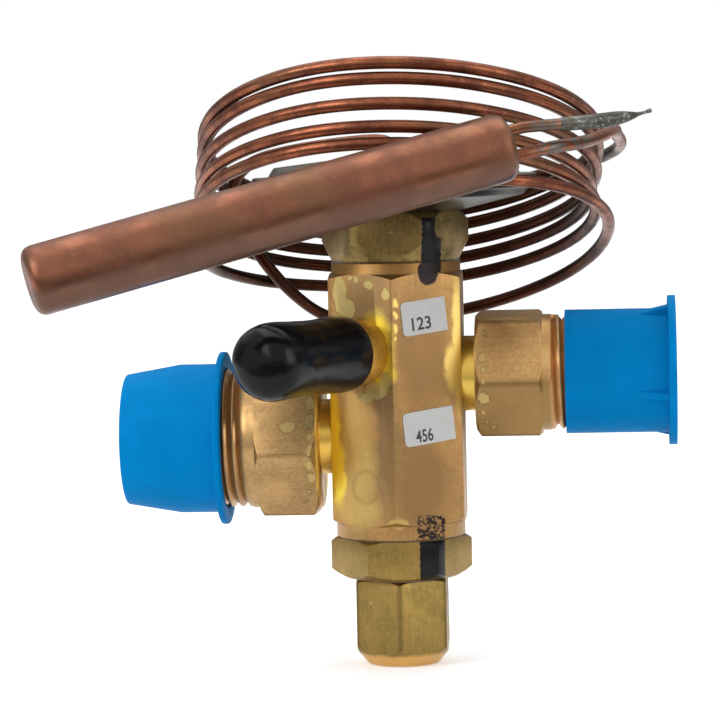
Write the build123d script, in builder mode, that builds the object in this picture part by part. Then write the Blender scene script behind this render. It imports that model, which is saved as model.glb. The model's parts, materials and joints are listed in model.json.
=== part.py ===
from build123d import *
from math import cos, pi, radians, sin, sqrt, tan
import os

# A refrigerant expansion valve: a hexagon-bar brass body with two flare connections, an
# equalizer connection, an adjusting stem under a seal cap, and a diaphragm head whose
# copper capillary lies coiled around the head and ends in a sensing bulb.
#
# +Z is the valve axis, and Z = 0 is the flat end of the bottom seal cap.
# +X is the inlet side, -X is the outlet side, and -Y is the side with the labels.
# All lengths are in millimetres, and all angles in degrees.

# Clearances
snug_gap = 0.03
thread_gap = 0.10
running_gap = 0.06
sliding_gap = 0.15
soft_gap = 0.25

# Hexagons: their turn about their own axis, and the round end faces as shares of the flats
hex_turn = 30.0
bevel_slope = 30.0
light_bevel_share = 1.05
full_bevel_share = 0.98
small_bevel = 0.4

# Seal cap and its gasket
seal_cap_flats = 17.46
seal_cap_length = 16.6
seal_cap_end_diameter = 14.0
seal_cap_end_slope = 50.0
seal_cap_thread_depth = 9.4
seal_cap_stem_room = 8.2
seal_cap_floor = 3.0
gasket_thickness = 0.5

# Bottom nut that carries the adjusting stem
bottom_nut_flats = 23.8
bottom_nut_height = 7.7
bottom_nut_turn = 5.0
bottom_nut_bevel = 1.5
cap_thread_diameter = 13.9
cap_thread_length = 9.0
bottom_thread_length = 4.6
body_gasket_thickness = 0.4
body_gasket_diameter = 24.3

# Adjusting stem, its packing and the spring guide
stem_end = 4.0
stem_diameter = 6.35
stem_square = 4.4
stem_square_length = 5.0
stem_collar_diameter = 10.0
stem_collar_thickness = 1.6
stem_collar_depth = 2.6
stem_thread_diameter = 6.0
stem_thread_overrun = 0.8
packing_diameter = 10.0
packing_height = 3.5
packing_nut_height = 2.6
packing_nut_slot = 1.2
packing_nut_recess = 0.4
guide_thickness = 2.0
guide_lift = 0.3
guide_boss_height = 1.9
guide_travel = 1.5
guide_flat_width = 16.6

# Valve body
body_flats = 25.4
body_hex_height = 48.4
body_corner_bevel = 1.0
collar_diameter = 25.1
collar_height = 2.7
band_diameter = 25.1
band_height = 2.0
bottom_thread_diameter = 20.0
bottom_thread_depth = 5.0
chamber_diameter = 18.0
chamber_height = 17.0
head_thread_diameter = 20.0
head_thread_length = 8.0
inlet_chamber_diameter = 9.0
inlet_chamber_height = 9.3
rod_spread = 14.0
rod_diameter = 2.0
rod_bevel = 0.2
rod_seal_diameter = 4.2
rod_seal_height = 2.0
braze_socket_depth = 2.2

# Seat and moving valve parts
port_diameter = 6.0
seat_diameter = 10.5
seat_height = 4.0
seat_bevel = 0.8
seat_wall = 1.0
carrier_thickness = 3.0
carrier_drop = 2.2
carrier_boss_length = 1.5
carrier_notch_count = 4
carrier_notch_width = 4.0
pin_shank_diameter = 3.0
pin_head_diameter = 7.8
pin_tip_diameter = 2.0
pin_cone_height = 4.6
pin_head_height = 0.6

# Superheat spring
spring_coil_diameter = 11.0
spring_wire = 1.4
spring_turns = 3.5
spring_seat_diameter = 8.8

# Connections, as heights above the lower end of the body
outlet_rise = 19.2
inlet_rise = 31.1
equalizer_rise = 36.4
equalizer_heading = 240.0

fitting_step = 2.0

# Outlet connection, a flare fitting for the larger tube
outlet_spigot_diameter = 12.6
outlet_neck_diameter = 14.6
outlet_neck_length = 2.3
outlet_flats = 27.6
outlet_hex_length = 12.0
outlet_collar_diameter = 27.4
outlet_collar_length = 1.5
outlet_thread_diameter = 26.98
outlet_thread_length = 14.0
outlet_nose_length = 4.0
outlet_nose_diameter = 18.6
outlet_bore = 15.6
outlet_port = 11.0
outlet_corner_dip = 8.0

# Inlet connection, a flare fitting for the smaller tube
inlet_spigot_diameter = 12.6
inlet_neck_diameter = 14.6
inlet_neck_length = 2.6
inlet_flats = 22.6
inlet_hex_length = 12.9
inlet_collar_diameter = 22.5
inlet_collar_length = 1.7
inlet_thread_diameter = 22.22
inlet_thread_length = 14.2
inlet_nose_length = 3.4
inlet_nose_diameter = 15.6
inlet_bore = 13.0
inlet_port = 9.5
inlet_corner_dip = 6.0

# Equalizer connection
equalizer_neck_diameter = 12.6
equalizer_neck_length = 5.7
equalizer_spigot_diameter = 8.0
equalizer_thread_diameter = 11.11
equalizer_thread_length = 12.0
equalizer_nose_length = 2.6
equalizer_nose_diameter = 6.6
equalizer_bore = 4.8
equalizer_port = 3.0
equalizer_drop_diameter = 2.4
equalizer_drop_radius = 8.3

# Outlet cap
outlet_cap_diameter = 29.0
outlet_cap_length = 19.8
outlet_cap_taper_length = 10.6
outlet_cap_end_diameter = 25.4
outlet_cap_flange_diameter = 33.7
outlet_cap_flange_thickness = 1.3
outlet_cap_exposed_thread = 5.0
outlet_cap_floor = 1.6

# Inlet cap
inlet_cap_diameter = 24.0
inlet_cap_length = 21.3
inlet_cap_flange_diameter = 28.9
inlet_cap_flange_thickness = 1.5
inlet_cap_exposed_thread = 2.7
inlet_cap_floor = 1.7
gusset_count = 4
gusset_length = 6.1
gusset_thickness = 1.4
gusset_step = 1.0
gusset_turn = 19.0

# Equalizer cap, a soft dipped cap
soft_cap_base_diameter = 14.8
soft_cap_waist_diameter = 14.2
soft_cap_tip_diameter = 15.0
soft_cap_length = 29.5
soft_cap_waist_at = 13.0
soft_cap_tip_radius = 5.6
soft_cap_bore_depth = 20.0

# Inlet strainer
strainer_diameter = 10.6
strainer_length = 17.0
strainer_wall = 0.5
strainer_slot_pairs = 3
strainer_slot_width = 2.0
strainer_slot_length = 9.0

# Element nut
element_nut_flats = 25.4
element_nut_height = 9.8
element_nut_corner_diameter = 28.5
element_nut_foot_height = 0.6
element_nut_foot_diameter = 25.0
element_nut_lower_bevel = 3.6
element_nut_upper_bevel = 1.9
element_nut_top_diameter = 25.8
element_nut_lip_diameter = 22.4

# Diaphragm case
case_diameter = 55.0
case_wall = 1.2
case_foot_diameter = 26.0
case_rim_width = 2.5
case_dish_rise = 2.8
case_rim_rise = 4.2
dome_setback = 4.2
dome_shoulder_rise = 1.9
dome_rise = 4.0
dome_flat_diameter = 10.0
diaphragm_thickness = 0.3
diaphragm_setback = 0.3
buffer_diameter = 30.0
buffer_thickness = 2.0
buffer_gap = 0.05
socket_diameter = 6.4
socket_lip = 0.4
socket_seat = 0.9
socket_bore = 1.0

# Sensing bulb and charge tube
bulb_diameter = 12.7
bulb_length = 91.0
bulb_end_bevel = 1.2
bulb_shoulder = 1.6
bulb_hole_depth = 2.0
bulb_left_end = (-60.67, -64.5, -20.7)
bulb_aim = (82.63, 24.55, 21.7)
charge_straight = 2.5
charge_tube_middle = (37.6, -35.6, 5.6)
charge_tube_end = (47.2, -31.5, 7.3)
pinch_length = 6.2
pinch_share = 0.5
pinch_width = 2.2
pinch_thickness = 1.0
pinch_tip_width = 1.0
pinch_tip_thickness = 0.6
charge_tube_diameter = 2.6
charge_tube_lift = 2.6
capillary_drop = 2.2

# Capillary tube: the reach and height of each hand-wound turn, seen from the labels' side
capillary_diameter = 2.4
tube_sides = 6
coil_heading = 4.5
coil_offset = 0.8
coil_back_depth = 36.4
coil_front_depths = [35.2, 36.4, 36.4, 36.4, 36.4, 36.4]
coil_right_reach = [40.6, 38.2, 37.3, 38.3, 38.7, 38.9]
coil_left_reach = [38.6, 38.6, 38.3, 38.0, 37.6, 37.4]
coil_front_heights = [-4.5, 2.4, 5.5, 9.7, 14.3, 17.1]
coil_back_heights = [-34.4, -26.8, -23.1, -19.9, -16.4, -13.4, -10.4]
coil_front_angles = [160, 188, 188, 188, 188, 188]
coil_back_angle = -10
coil_points_per_turn = 10
arc_share = 0.45
elbow_rise = 1.6
lead_places = [
    (-1.9, 0.4, 3.0), (-9.0, 2.2, 2.6), (-19.0, 4.4, 1.4), (-28.0, 6.5, -0.6), (-32.3, 10.0, -5.5),
    (-31.0, 14.5, -12.5), (-27.0, 19.5, -19.8), (-21.7, 26.0, -27.0), (-14.8, 32.5, -33.0),
]
rising_places = [
    (5, 0, -10.0), (20, 0, -8.4), (35, 0.4, -6.4), (50, 1.4, -4.2), (65, 2.2, -2.2), (78, 2.6, -0.4),
    (90, 2.6, 1.3),
]
return_places = [
    (42.4, -9.0, 3.3), (41.8, -17.5, 4.0), (39.4, -25.5, 3.1), (34.5, -32.5, 1.6),
]
capillary_straight = 6.5

# Labels
label_thickness = 0.15
label_height = 6.5
label_round = 0.9
label_tilt = 6.0
label_heading = -60.0
upper_label_width = 9.5
upper_label_across = -0.5
upper_label_rise = 42.9
lower_label_width = 10.8
lower_label_across = 0.1
lower_label_rise = 21.8

# Heights worked out from the stack of pieces along the valve axis
nut_bottom = seal_cap_length + gasket_thickness
nut_top = nut_bottom + bottom_nut_height
body_bottom = nut_top + body_gasket_thickness
hex_bottom = body_bottom + collar_height
hex_top = hex_bottom + body_hex_height
body_top = hex_top + band_height
chamber_bottom = body_bottom + bottom_thread_depth
chamber_top = chamber_bottom + chamber_height
seat_top = chamber_top + seat_height
outlet_height = body_bottom + outlet_rise
inlet_height = body_bottom + inlet_rise
equalizer_height = body_bottom + equalizer_rise
case_bottom = body_top + element_nut_height
rim_bottom = case_bottom + case_rim_rise
case_dish_diameter = case_diameter - 2 * case_rim_width
dome_diameter = case_diameter - 2 * dome_setback
diaphragm_diameter = case_diameter - 2 * diaphragm_setback
diaphragm_bottom = rim_bottom + case_wall
dome_bottom = diaphragm_bottom + diaphragm_thickness
dome_top = dome_bottom + case_wall + dome_rise
carrier_top = chamber_top - carrier_drop
carrier_bottom = carrier_top - carrier_thickness
buffer_top = diaphragm_bottom - buffer_gap
buffer_bottom = buffer_top - buffer_thickness
bottom_thread_top = nut_top + bottom_thread_length
guide_bottom = bottom_thread_top + guide_travel + guide_lift
guide_top = guide_bottom + guide_thickness
face = body_flats / 2
corner_factor = 1 / cos(radians(30))

# Directions and planes
outlet_way = Vector(-1, 0, 0)
inlet_way = Vector(1, 0, 0)
equalizer_way = Vector(cos(radians(equalizer_heading)), sin(radians(equalizer_heading)), 0)
up = Vector(0, 0, 1)


def port_plane(way, height, distance):
    """The plane across a connection, with its local X upwards."""
    return Plane(origin=way * distance + up * height, x_dir=up, z_dir=way)


def profile_plane(way, height):
    """The plane of a connection's half profile: along the connection, then its radius."""
    return Plane(origin=up * height, x_dir=way, z_dir=way.cross(up))


def turned(points, plane=Plane.XZ, axis=Axis.Z, mode=Mode.ADD):
    """Revolve a closed outline about an axis that lies in its plane."""
    with BuildSketch(plane) as outline:
        with BuildLine():
            Polyline(*points, close=True)
        make_face()
    revolve(outline.sketch, axis=axis, mode=mode)


def turned_port(points, way, height, mode=Mode.ADD):
    """Revolve a half profile about a connection's own axis."""
    turned(points, profile_plane(way, height), Axis(up * height, way), mode)


def bored(way, height, start, end, diameter):
    """Cut a round bore along a connection, from one distance to the other."""
    with BuildSketch(port_plane(way, height, start)) as circle:
        Circle(diameter / 2)
    extrude(circle.sketch, amount=end - start, mode=Mode.SUBTRACT)


def beveled_hex(plane, flats, length, turn, start_face, end_face, start_slope=bevel_slope):
    """A hexagon bar whose corners are turned off down to a round face at each end."""
    past = flats / 2 * corner_factor + 1
    start_run = (past - start_face / 2) * tan(radians(start_slope))
    end_run = (past - end_face / 2) * tan(radians(bevel_slope))
    with BuildSketch(plane) as hexagon:
        RegularPolygon(flats / 2, 6, major_radius=False, rotation=turn)
    extrude(hexagon.sketch, amount=length)
    side = Plane(origin=plane.origin, x_dir=plane.z_dir, z_dir=plane.z_dir.cross(plane.x_dir))
    points = [(0, 0), (0, start_face / 2), (start_run, past)]
    points += [(length - end_run, past), (length, end_face / 2), (length, 0)]
    turned(points, side, Axis(plane.origin, plane.z_dir), Mode.INTERSECT)


def ring(inner, outer, bottom, top):
    """A plain turned ring about the valve axis, from its two diameters and two heights."""
    turned([(inner / 2, bottom), (outer / 2, bottom), (outer / 2, top), (inner / 2, top)])


def pressed_sheet(points):
    """A pressed sheet of revolution, from the lower line of its section."""
    turned(points + [(radius, height + case_wall) for radius, height in reversed(points)])


# Seal cap: a blind hexagon cap over the adjusting stem
with BuildPart() as seal_cap:
    beveled_hex(
        Plane.XY, seal_cap_flats, seal_cap_length, hex_turn, seal_cap_end_diameter,
        seal_cap_flats * light_bevel_share, seal_cap_end_slope,
    )
    with BuildSketch(Plane.XY.offset(seal_cap_length)):
        Circle(cap_thread_diameter / 2 + thread_gap)
    extrude(amount=-seal_cap_thread_depth, mode=Mode.SUBTRACT)
    with BuildSketch(Plane.XY.offset(seal_cap_floor)):
        Circle(seal_cap_stem_room / 2)
    extrude(amount=seal_cap_length - seal_cap_floor, mode=Mode.SUBTRACT)

with BuildPart() as seal_cap_gasket:
    ring(cap_thread_diameter + 2 * thread_gap, seal_cap_flats * full_bevel_share, seal_cap_length, nut_bottom)

# Bottom nut: hexagon, body thread above, cap thread below, stem bore through it
packing_nut_bottom = nut_bottom - cap_thread_length + packing_nut_recess
packing_bottom = packing_nut_bottom + packing_nut_height
packing_top = packing_bottom + packing_height
stem_collar_bottom = bottom_thread_top - stem_collar_depth
stem_bore = stem_diameter + 2 * running_gap

with BuildPart() as bottom_nut:
    beveled_hex(
        Plane.XY.offset(nut_bottom), bottom_nut_flats, bottom_nut_height, bottom_nut_turn,
        bottom_nut_flats * corner_factor - 2 * sqrt(3) * bottom_nut_bevel,
        bottom_nut_flats * light_bevel_share,
    )
    with BuildSketch(Plane.XY.offset(nut_bottom - cap_thread_length)):
        Circle(cap_thread_diameter / 2)
    extrude(amount=cap_thread_length)
    with BuildSketch(Plane.XY.offset(nut_top)):
        Circle(bottom_thread_diameter / 2 - thread_gap)
    extrude(amount=bottom_thread_length)
    chamfer(edges().sort_by(Axis.Z)[-1], small_bevel)
    with Locations((0, 0, bottom_thread_top)):
        CounterBoreHole(stem_bore / 2, stem_collar_diameter / 2 + sliding_gap, stem_collar_depth)
    with BuildSketch(Plane.XY.offset(nut_bottom - cap_thread_length)):
        Circle(packing_diameter / 2)
    extrude(amount=packing_top - nut_bottom + cap_thread_length, mode=Mode.SUBTRACT)

with BuildPart() as body_gasket:
    ring(bottom_thread_diameter + 2 * thread_gap, body_gasket_diameter, nut_top, body_bottom)

# Adjusting stem: square end, plain shank through the packing, collar, and screw thread
stem_collar_top = stem_collar_bottom + snug_gap + stem_collar_thickness
stem_thread_top = guide_top + guide_boss_height + stem_thread_overrun

with BuildPart() as adjusting_stem:
    with BuildSketch(Plane.XY.offset(stem_end)):
        Rectangle(stem_square, stem_square)
    extrude(amount=stem_square_length)
    chamfer(faces().sort_by(Axis.Z)[0].edges(), small_bevel)
    ring(0, stem_diameter, stem_end + stem_square_length, stem_collar_bottom + snug_gap)
    ring(0, stem_collar_diameter, stem_collar_bottom + snug_gap, stem_collar_top)
    ring(0, stem_thread_diameter, stem_collar_top, stem_thread_top)
    chamfer(edges().sort_by(Axis.Z)[-1], small_bevel)

with BuildPart() as stem_packing:
    ring(stem_bore, packing_diameter - 2 * snug_gap, packing_bottom, packing_top - snug_gap)

with BuildPart() as packing_nut:
    ring(stem_bore, packing_diameter - 2 * snug_gap, packing_nut_bottom, packing_bottom)
    with BuildSketch(Plane.XY.offset(packing_nut_bottom)):
        Rectangle(packing_diameter, packing_nut_slot)
    extrude(amount=packing_nut_height / 3, mode=Mode.SUBTRACT)

# Spring guide: a nut that climbs the stem's thread and carries the spring
with BuildPart() as spring_guide:
    with BuildSketch(Plane.XY.offset(guide_bottom)):
        Circle(chamber_diameter / 2 - running_gap)
        Rectangle(chamber_diameter, guide_flat_width, mode=Mode.INTERSECT)
    extrude(amount=guide_thickness)
    with BuildSketch(Plane.XY.offset(guide_top)):
        Circle(spring_seat_diameter / 2)
    extrude(amount=guide_boss_height)
    chamfer(edges().sort_by(Axis.Z)[-1], small_bevel)
    with Locations((0, 0, guide_top + guide_boss_height)):
        Hole(stem_thread_diameter / 2 + running_gap)

# Superheat spring, wound from square wire
spring_height = carrier_bottom - guide_top - 2 * snug_gap
with BuildPart() as superheat_spring:
    with BuildLine() as coil_line:
        Helix(
            (spring_height - spring_wire) / spring_turns,
            spring_height - spring_wire,
            spring_coil_diameter / 2,
            center=(0, 0, guide_top + snug_gap + spring_wire / 2),
        )
    with BuildSketch(Plane(origin=coil_line.line @ 0, x_dir=(1, 0, 0), z_dir=coil_line.line % 0)):
        Rectangle(spring_wire, spring_wire)
    sweep(is_frenet=True)

# Pin carrier: a notched disc that the push rods press down against the spring
with BuildPart() as pin_carrier:
    with BuildSketch(Plane.XY.offset(carrier_bottom)):
        Circle(chamber_diameter / 2 - running_gap)
        with PolarLocations(chamber_diameter / 2, carrier_notch_count, start_angle=180 / carrier_notch_count):
            Rectangle(carrier_notch_width, carrier_notch_width, mode=Mode.SUBTRACT)
    extrude(amount=carrier_thickness)
    with BuildSketch(Plane.XY.offset(carrier_bottom)):
        Circle(spring_seat_diameter / 2)
    extrude(amount=-carrier_boss_length)
    with Locations((0, 0, carrier_top)):
        Hole(pin_shank_diameter / 2 + snug_gap, depth=carrier_thickness)

with BuildPart() as valve_pin:
    turned([
        (0, carrier_bottom + snug_gap),
        (pin_shank_diameter / 2, carrier_bottom + snug_gap),
        (pin_shank_diameter / 2, carrier_top),
        (pin_head_diameter / 2, carrier_top),
        (pin_head_diameter / 2, carrier_top + pin_head_height),
        (pin_tip_diameter / 2, carrier_top + pin_head_height + pin_cone_height),
        (0, carrier_top + pin_head_height + pin_cone_height),
    ])

with BuildPart() as seat_insert:
    ring(port_diameter, seat_diameter, chamber_top, seat_top)
    chamfer(edges().group_by(Axis.Z)[-1].sort_by(SortBy.RADIUS)[0], seat_bevel)

# Valve body: hexagon bar, turned at both ends, bored from below and from above
rod_places = [(0, -rod_spread / 2), (0, rod_spread / 2)]
rod_seal_bottom = body_top + head_thread_length - rod_seal_height
equalizer_drop = equalizer_way * equalizer_drop_radius

with BuildPart() as valve_body:
    beveled_hex(
        Plane.XY.offset(hex_bottom), body_flats, body_hex_height, hex_turn,
        body_flats * corner_factor - 2 * sqrt(3) * body_corner_bevel,
        body_flats * corner_factor - 2 * sqrt(3) * body_corner_bevel,
    )
    ring(0, collar_diameter, body_bottom, hex_bottom)
    ring(0, band_diameter, hex_top, body_top)
    ring(0, head_thread_diameter, body_top, body_top + head_thread_length)
    chamfer(edges().sort_by(Axis.Z)[-1], body_corner_bevel)
    with BuildSketch(Plane.XY.offset(body_bottom)):
        Circle(bottom_thread_diameter / 2)
    extrude(amount=bottom_thread_depth, mode=Mode.SUBTRACT)
    with BuildSketch(Plane.XY.offset(chamber_bottom)):
        Circle(chamber_diameter / 2)
    extrude(amount=chamber_height, mode=Mode.SUBTRACT)
    with BuildSketch(Plane.XY.offset(chamber_top)):
        Circle(seat_diameter / 2 + snug_gap)
    extrude(amount=seat_height + snug_gap, mode=Mode.SUBTRACT)
    with BuildSketch(Plane.XY.offset(seat_top)):
        Circle(inlet_chamber_diameter / 2)
    extrude(amount=inlet_chamber_height, mode=Mode.SUBTRACT)
    with BuildSketch(Plane.XY.offset(chamber_top)):
        with Locations(*rod_places):
            Circle(rod_diameter / 2 + running_gap)
    extrude(amount=body_top + head_thread_length - chamber_top, mode=Mode.SUBTRACT)
    with BuildSketch(Plane.XY.offset(rod_seal_bottom)):
        with Locations(*rod_places):
            Circle(rod_seal_diameter / 2)
    extrude(amount=rod_seal_height, mode=Mode.SUBTRACT)
    with BuildSketch(Plane.XY.offset(equalizer_height - equalizer_port / 2)):
        with Locations((equalizer_drop.X, equalizer_drop.Y)):
            Circle(equalizer_drop_diameter / 2)
    extrude(amount=body_top + head_thread_length - equalizer_height + equalizer_port / 2, mode=Mode.SUBTRACT)
    bored(outlet_way, outlet_height, seat_diameter / 2 + seat_wall, face, outlet_port)
    bored(inlet_way, inlet_height, 0, face, inlet_port)
    bored(equalizer_way, equalizer_height, equalizer_drop_radius, face, equalizer_port)
    bored(outlet_way, outlet_height, face - braze_socket_depth, face, outlet_spigot_diameter)
    bored(inlet_way, inlet_height, face - braze_socket_depth, face, inlet_spigot_diameter)
    bored(equalizer_way, equalizer_height, face - braze_socket_depth, face, equalizer_spigot_diameter)


def flare_fitting(way, height, turn, spigot, port, neck, hexagon, collar, thread, nose, bore):
    """A brazed-in flare connection; neck to nose are pairs of a width and a length."""
    flats = hexagon[0]
    hex_start = face + neck[1]
    hex_end = hex_start + hexagon[1]
    thread_start = hex_end + collar[1]
    thread_end = thread_start + thread[1]
    nose_end = thread_end + nose[1]
    beveled_hex(
        port_plane(way, height, hex_start), flats, hexagon[1], turn,
        flats * full_bevel_share, flats * light_bevel_share,
    )
    turned_port([
        (face - braze_socket_depth, 0),
        (face - braze_socket_depth, spigot / 2 - snug_gap),
        (face, spigot / 2 - snug_gap),
        (face, neck[0] / 2),
        (hex_start, neck[0] / 2),
        (hex_start, collar[0] / 2),
        (thread_start, collar[0] / 2),
        (thread_start, thread[0] / 2),
        (thread_end, thread[0] / 2),
        (nose_end, nose[0] / 2),
        (nose_end, 0),
    ], way, height)
    bored(way, height, hex_start + fitting_step, nose_end, bore)
    bored(way, height, face - braze_socket_depth, hex_start + fitting_step, port)


with BuildPart() as outlet_fitting:
    flare_fitting(
        outlet_way, outlet_height, hex_turn - outlet_corner_dip, outlet_spigot_diameter, outlet_port,
        (outlet_neck_diameter, outlet_neck_length), (outlet_flats, outlet_hex_length),
        (outlet_collar_diameter, outlet_collar_length), (outlet_thread_diameter, outlet_thread_length),
        (outlet_nose_diameter, outlet_nose_length), outlet_bore,
    )

with BuildPart() as inlet_fitting:
    flare_fitting(
        inlet_way, inlet_height, hex_turn + inlet_corner_dip, inlet_spigot_diameter, inlet_port,
        (inlet_neck_diameter, inlet_neck_length), (inlet_flats, inlet_hex_length),
        (inlet_collar_diameter, inlet_collar_length), (inlet_thread_diameter, inlet_thread_length),
        (inlet_nose_diameter, inlet_nose_length), inlet_bore,
    )

equalizer_thread_start = face + equalizer_neck_length
equalizer_thread_end = equalizer_thread_start + equalizer_thread_length
equalizer_end = equalizer_thread_end + equalizer_nose_length
with BuildPart() as equalizer_fitting:
    turned_port([
        (face - braze_socket_depth, 0),
        (face - braze_socket_depth, equalizer_spigot_diameter / 2 - snug_gap),
        (face, equalizer_spigot_diameter / 2 - snug_gap),
        (face, equalizer_neck_diameter / 2),
        (equalizer_thread_start, equalizer_neck_diameter / 2),
        (equalizer_thread_start, equalizer_thread_diameter / 2),
        (equalizer_thread_end, equalizer_thread_diameter / 2),
        (equalizer_end, equalizer_nose_diameter / 2),
        (equalizer_end, 0),
    ], equalizer_way, equalizer_height)
    bored(equalizer_way, equalizer_height, face - braze_socket_depth, equalizer_end, equalizer_bore)

# Inlet strainer: a slotted cup whose rim sits on the step inside the inlet fitting
strainer_start = face + inlet_neck_length + fitting_step
strainer_end = strainer_start + strainer_length
strainer_rim = inlet_bore - 2 * snug_gap
with BuildPart() as inlet_strainer:
    turned_port([
        (strainer_start + strainer_wall, strainer_diameter / 2),
        (strainer_end - strainer_wall, strainer_diameter / 2),
        (strainer_end - strainer_wall, strainer_rim / 2),
        (strainer_end, strainer_rim / 2),
        (strainer_end, strainer_diameter / 2 - strainer_wall),
        (strainer_start + 2 * strainer_wall, strainer_diameter / 2 - strainer_wall),
        (strainer_start + 2 * strainer_wall, 0),
        (strainer_start + strainer_wall, 0),
    ], inlet_way, inlet_height)
    for number in range(strainer_slot_pairs):
        outward = Vector(0, sin(pi * number / strainer_slot_pairs), cos(pi * number / strainer_slot_pairs))
        middle = inlet_way * (strainer_start + strainer_length / 2) + up * inlet_height
        with BuildSketch(Plane(origin=middle, x_dir=inlet_way, z_dir=outward)) as slot:
            Rectangle(strainer_slot_length, strainer_slot_width)
        extrude(slot.sketch, amount=strainer_diameter, both=True, mode=Mode.SUBTRACT)

# Outlet cap: a thin moulded cup with a lipped mouth and a tapered end
outlet_thread_start = face + outlet_neck_length + outlet_hex_length + outlet_collar_length
outlet_cap_mouth = outlet_thread_start + outlet_cap_exposed_thread
outlet_cap_end = outlet_cap_mouth + outlet_cap_length
outlet_cap_bore = outlet_thread_diameter + 2 * thread_gap
outlet_taper_start = outlet_cap_end - outlet_cap_taper_length
outlet_cap_wall = (outlet_cap_diameter - outlet_cap_bore) / 2
with BuildPart() as outlet_cap:
    turned_port([
        (outlet_cap_mouth, outlet_cap_bore / 2),
        (outlet_cap_mouth, outlet_cap_flange_diameter / 2),
        (outlet_cap_mouth + outlet_cap_flange_thickness, outlet_cap_flange_diameter / 2),
        (outlet_cap_mouth + outlet_cap_flange_thickness, outlet_cap_diameter / 2),
        (outlet_taper_start, outlet_cap_diameter / 2),
        (outlet_cap_end, outlet_cap_end_diameter / 2),
        (outlet_cap_end, 0),
        (outlet_cap_end - outlet_cap_floor, 0),
        (outlet_cap_end - outlet_cap_floor, outlet_cap_end_diameter / 2 - outlet_cap_wall),
        (outlet_taper_start, outlet_cap_bore / 2),
    ], outlet_way, outlet_height)

# Inlet cap: a plain cup with a flange at its closed end, held by four gussets
inlet_thread_start = face + inlet_neck_length + inlet_hex_length + inlet_collar_length
inlet_cap_mouth = inlet_thread_start + inlet_cap_exposed_thread
inlet_cap_end = inlet_cap_mouth + inlet_cap_length
inlet_cap_bore = inlet_thread_diameter + 2 * thread_gap
inlet_flange_start = inlet_cap_end - inlet_cap_flange_thickness
with BuildPart() as inlet_cap:
    turned_port([
        (inlet_cap_mouth, inlet_cap_bore / 2),
        (inlet_cap_mouth, inlet_cap_diameter / 2),
        (inlet_flange_start, inlet_cap_diameter / 2),
        (inlet_flange_start, inlet_cap_flange_diameter / 2),
        (inlet_cap_end, inlet_cap_flange_diameter / 2),
        (inlet_cap_end, 0),
        (inlet_cap_end - inlet_cap_floor, 0),
        (inlet_cap_end - inlet_cap_floor, inlet_cap_bore / 2),
    ], inlet_way, inlet_height)
    for number in range(gusset_count):
        lean = radians(gusset_turn + 360 / gusset_count * number)
        outward = up * cos(lean) + inlet_way.cross(up) * -sin(lean)
        rib_plane = Plane(origin=up * inlet_height, x_dir=inlet_way, z_dir=inlet_way.cross(outward))
        with BuildSketch(rib_plane) as rib:
            with BuildLine():
                Polyline(
                    (inlet_flange_start, inlet_cap_diameter / 2 - snug_gap),
                    (inlet_flange_start - gusset_length, inlet_cap_diameter / 2 - snug_gap),
                    (inlet_flange_start, inlet_cap_flange_diameter / 2 - gusset_step),
                    close=True,
                )
            make_face()
        extrude(rib.sketch, amount=gusset_thickness / 2, both=True)

# Equalizer cap: a soft dipped cap with a slight waist and a round tip
soft_cap_start = equalizer_thread_start
soft_cap_end = soft_cap_start + soft_cap_length
with BuildPart() as equalizer_cap:
    with BuildSketch(profile_plane(equalizer_way, equalizer_height)) as outline:
        with BuildLine():
            waist = (soft_cap_start + soft_cap_waist_at, soft_cap_waist_diameter / 2)
            FilletPolyline(
                waist,
                (soft_cap_end, soft_cap_tip_diameter / 2),
                (soft_cap_end, 0),
                radius=soft_cap_tip_radius,
            )
            Polyline(
                (soft_cap_end, 0),
                (soft_cap_start + soft_cap_bore_depth, 0),
                (soft_cap_start + soft_cap_bore_depth, equalizer_thread_diameter / 2 + thread_gap),
                (soft_cap_start + soft_gap, equalizer_thread_diameter / 2 + thread_gap),
                (soft_cap_start + soft_gap, soft_cap_base_diameter / 2),
                waist,
            )
        make_face()
    revolve(outline.sketch, axis=Axis(up * equalizer_height, equalizer_way))

# Element nut: the brass nut that carries the diaphragm case
nut_foot_top = body_top + element_nut_foot_height
with BuildPart() as element_nut:
    with BuildSketch(Plane.XY.offset(body_top)):
        RegularPolygon(element_nut_flats / 2, 6, major_radius=False)
    extrude(amount=element_nut_height)
    turned([
        (0, body_top),
        (element_nut_foot_diameter / 2, body_top),
        (element_nut_foot_diameter / 2, nut_foot_top),
        (element_nut_corner_diameter / 2, nut_foot_top + element_nut_lower_bevel),
        (element_nut_corner_diameter / 2, case_bottom - element_nut_upper_bevel),
        (element_nut_top_diameter / 2, case_bottom),
        (0, case_bottom),
    ], mode=Mode.INTERSECT)
    ring(0, element_nut_lip_diameter, case_bottom, case_bottom + case_wall)
    with BuildSketch(Plane.XY.offset(body_top)):
        Circle(head_thread_diameter / 2 + thread_gap)
    extrude(amount=element_nut_height + case_wall, mode=Mode.SUBTRACT)

# Diaphragm case: two pressed steel shells clamp the diaphragm at their rims
with BuildPart() as lower_case:
    pressed_sheet([
        (element_nut_lip_diameter / 2 + snug_gap, case_bottom),
        (case_foot_diameter / 2, case_bottom),
        (case_dish_diameter / 2, case_bottom + case_dish_rise),
        (case_dish_diameter / 2 + case_wall, rim_bottom),
        (case_diameter / 2, rim_bottom),
    ])

with BuildPart() as diaphragm:
    ring(0, diaphragm_diameter, diaphragm_bottom, dome_bottom)

with BuildPart() as upper_case:
    pressed_sheet([
        (case_diameter / 2, dome_bottom),
        (dome_diameter / 2 + case_wall, dome_bottom),
        (dome_diameter / 2, dome_bottom + dome_shoulder_rise),
        (dome_flat_diameter / 2, dome_top - case_wall),
        (socket_diameter / 2 + snug_gap, dome_top - case_wall),
    ])

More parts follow.
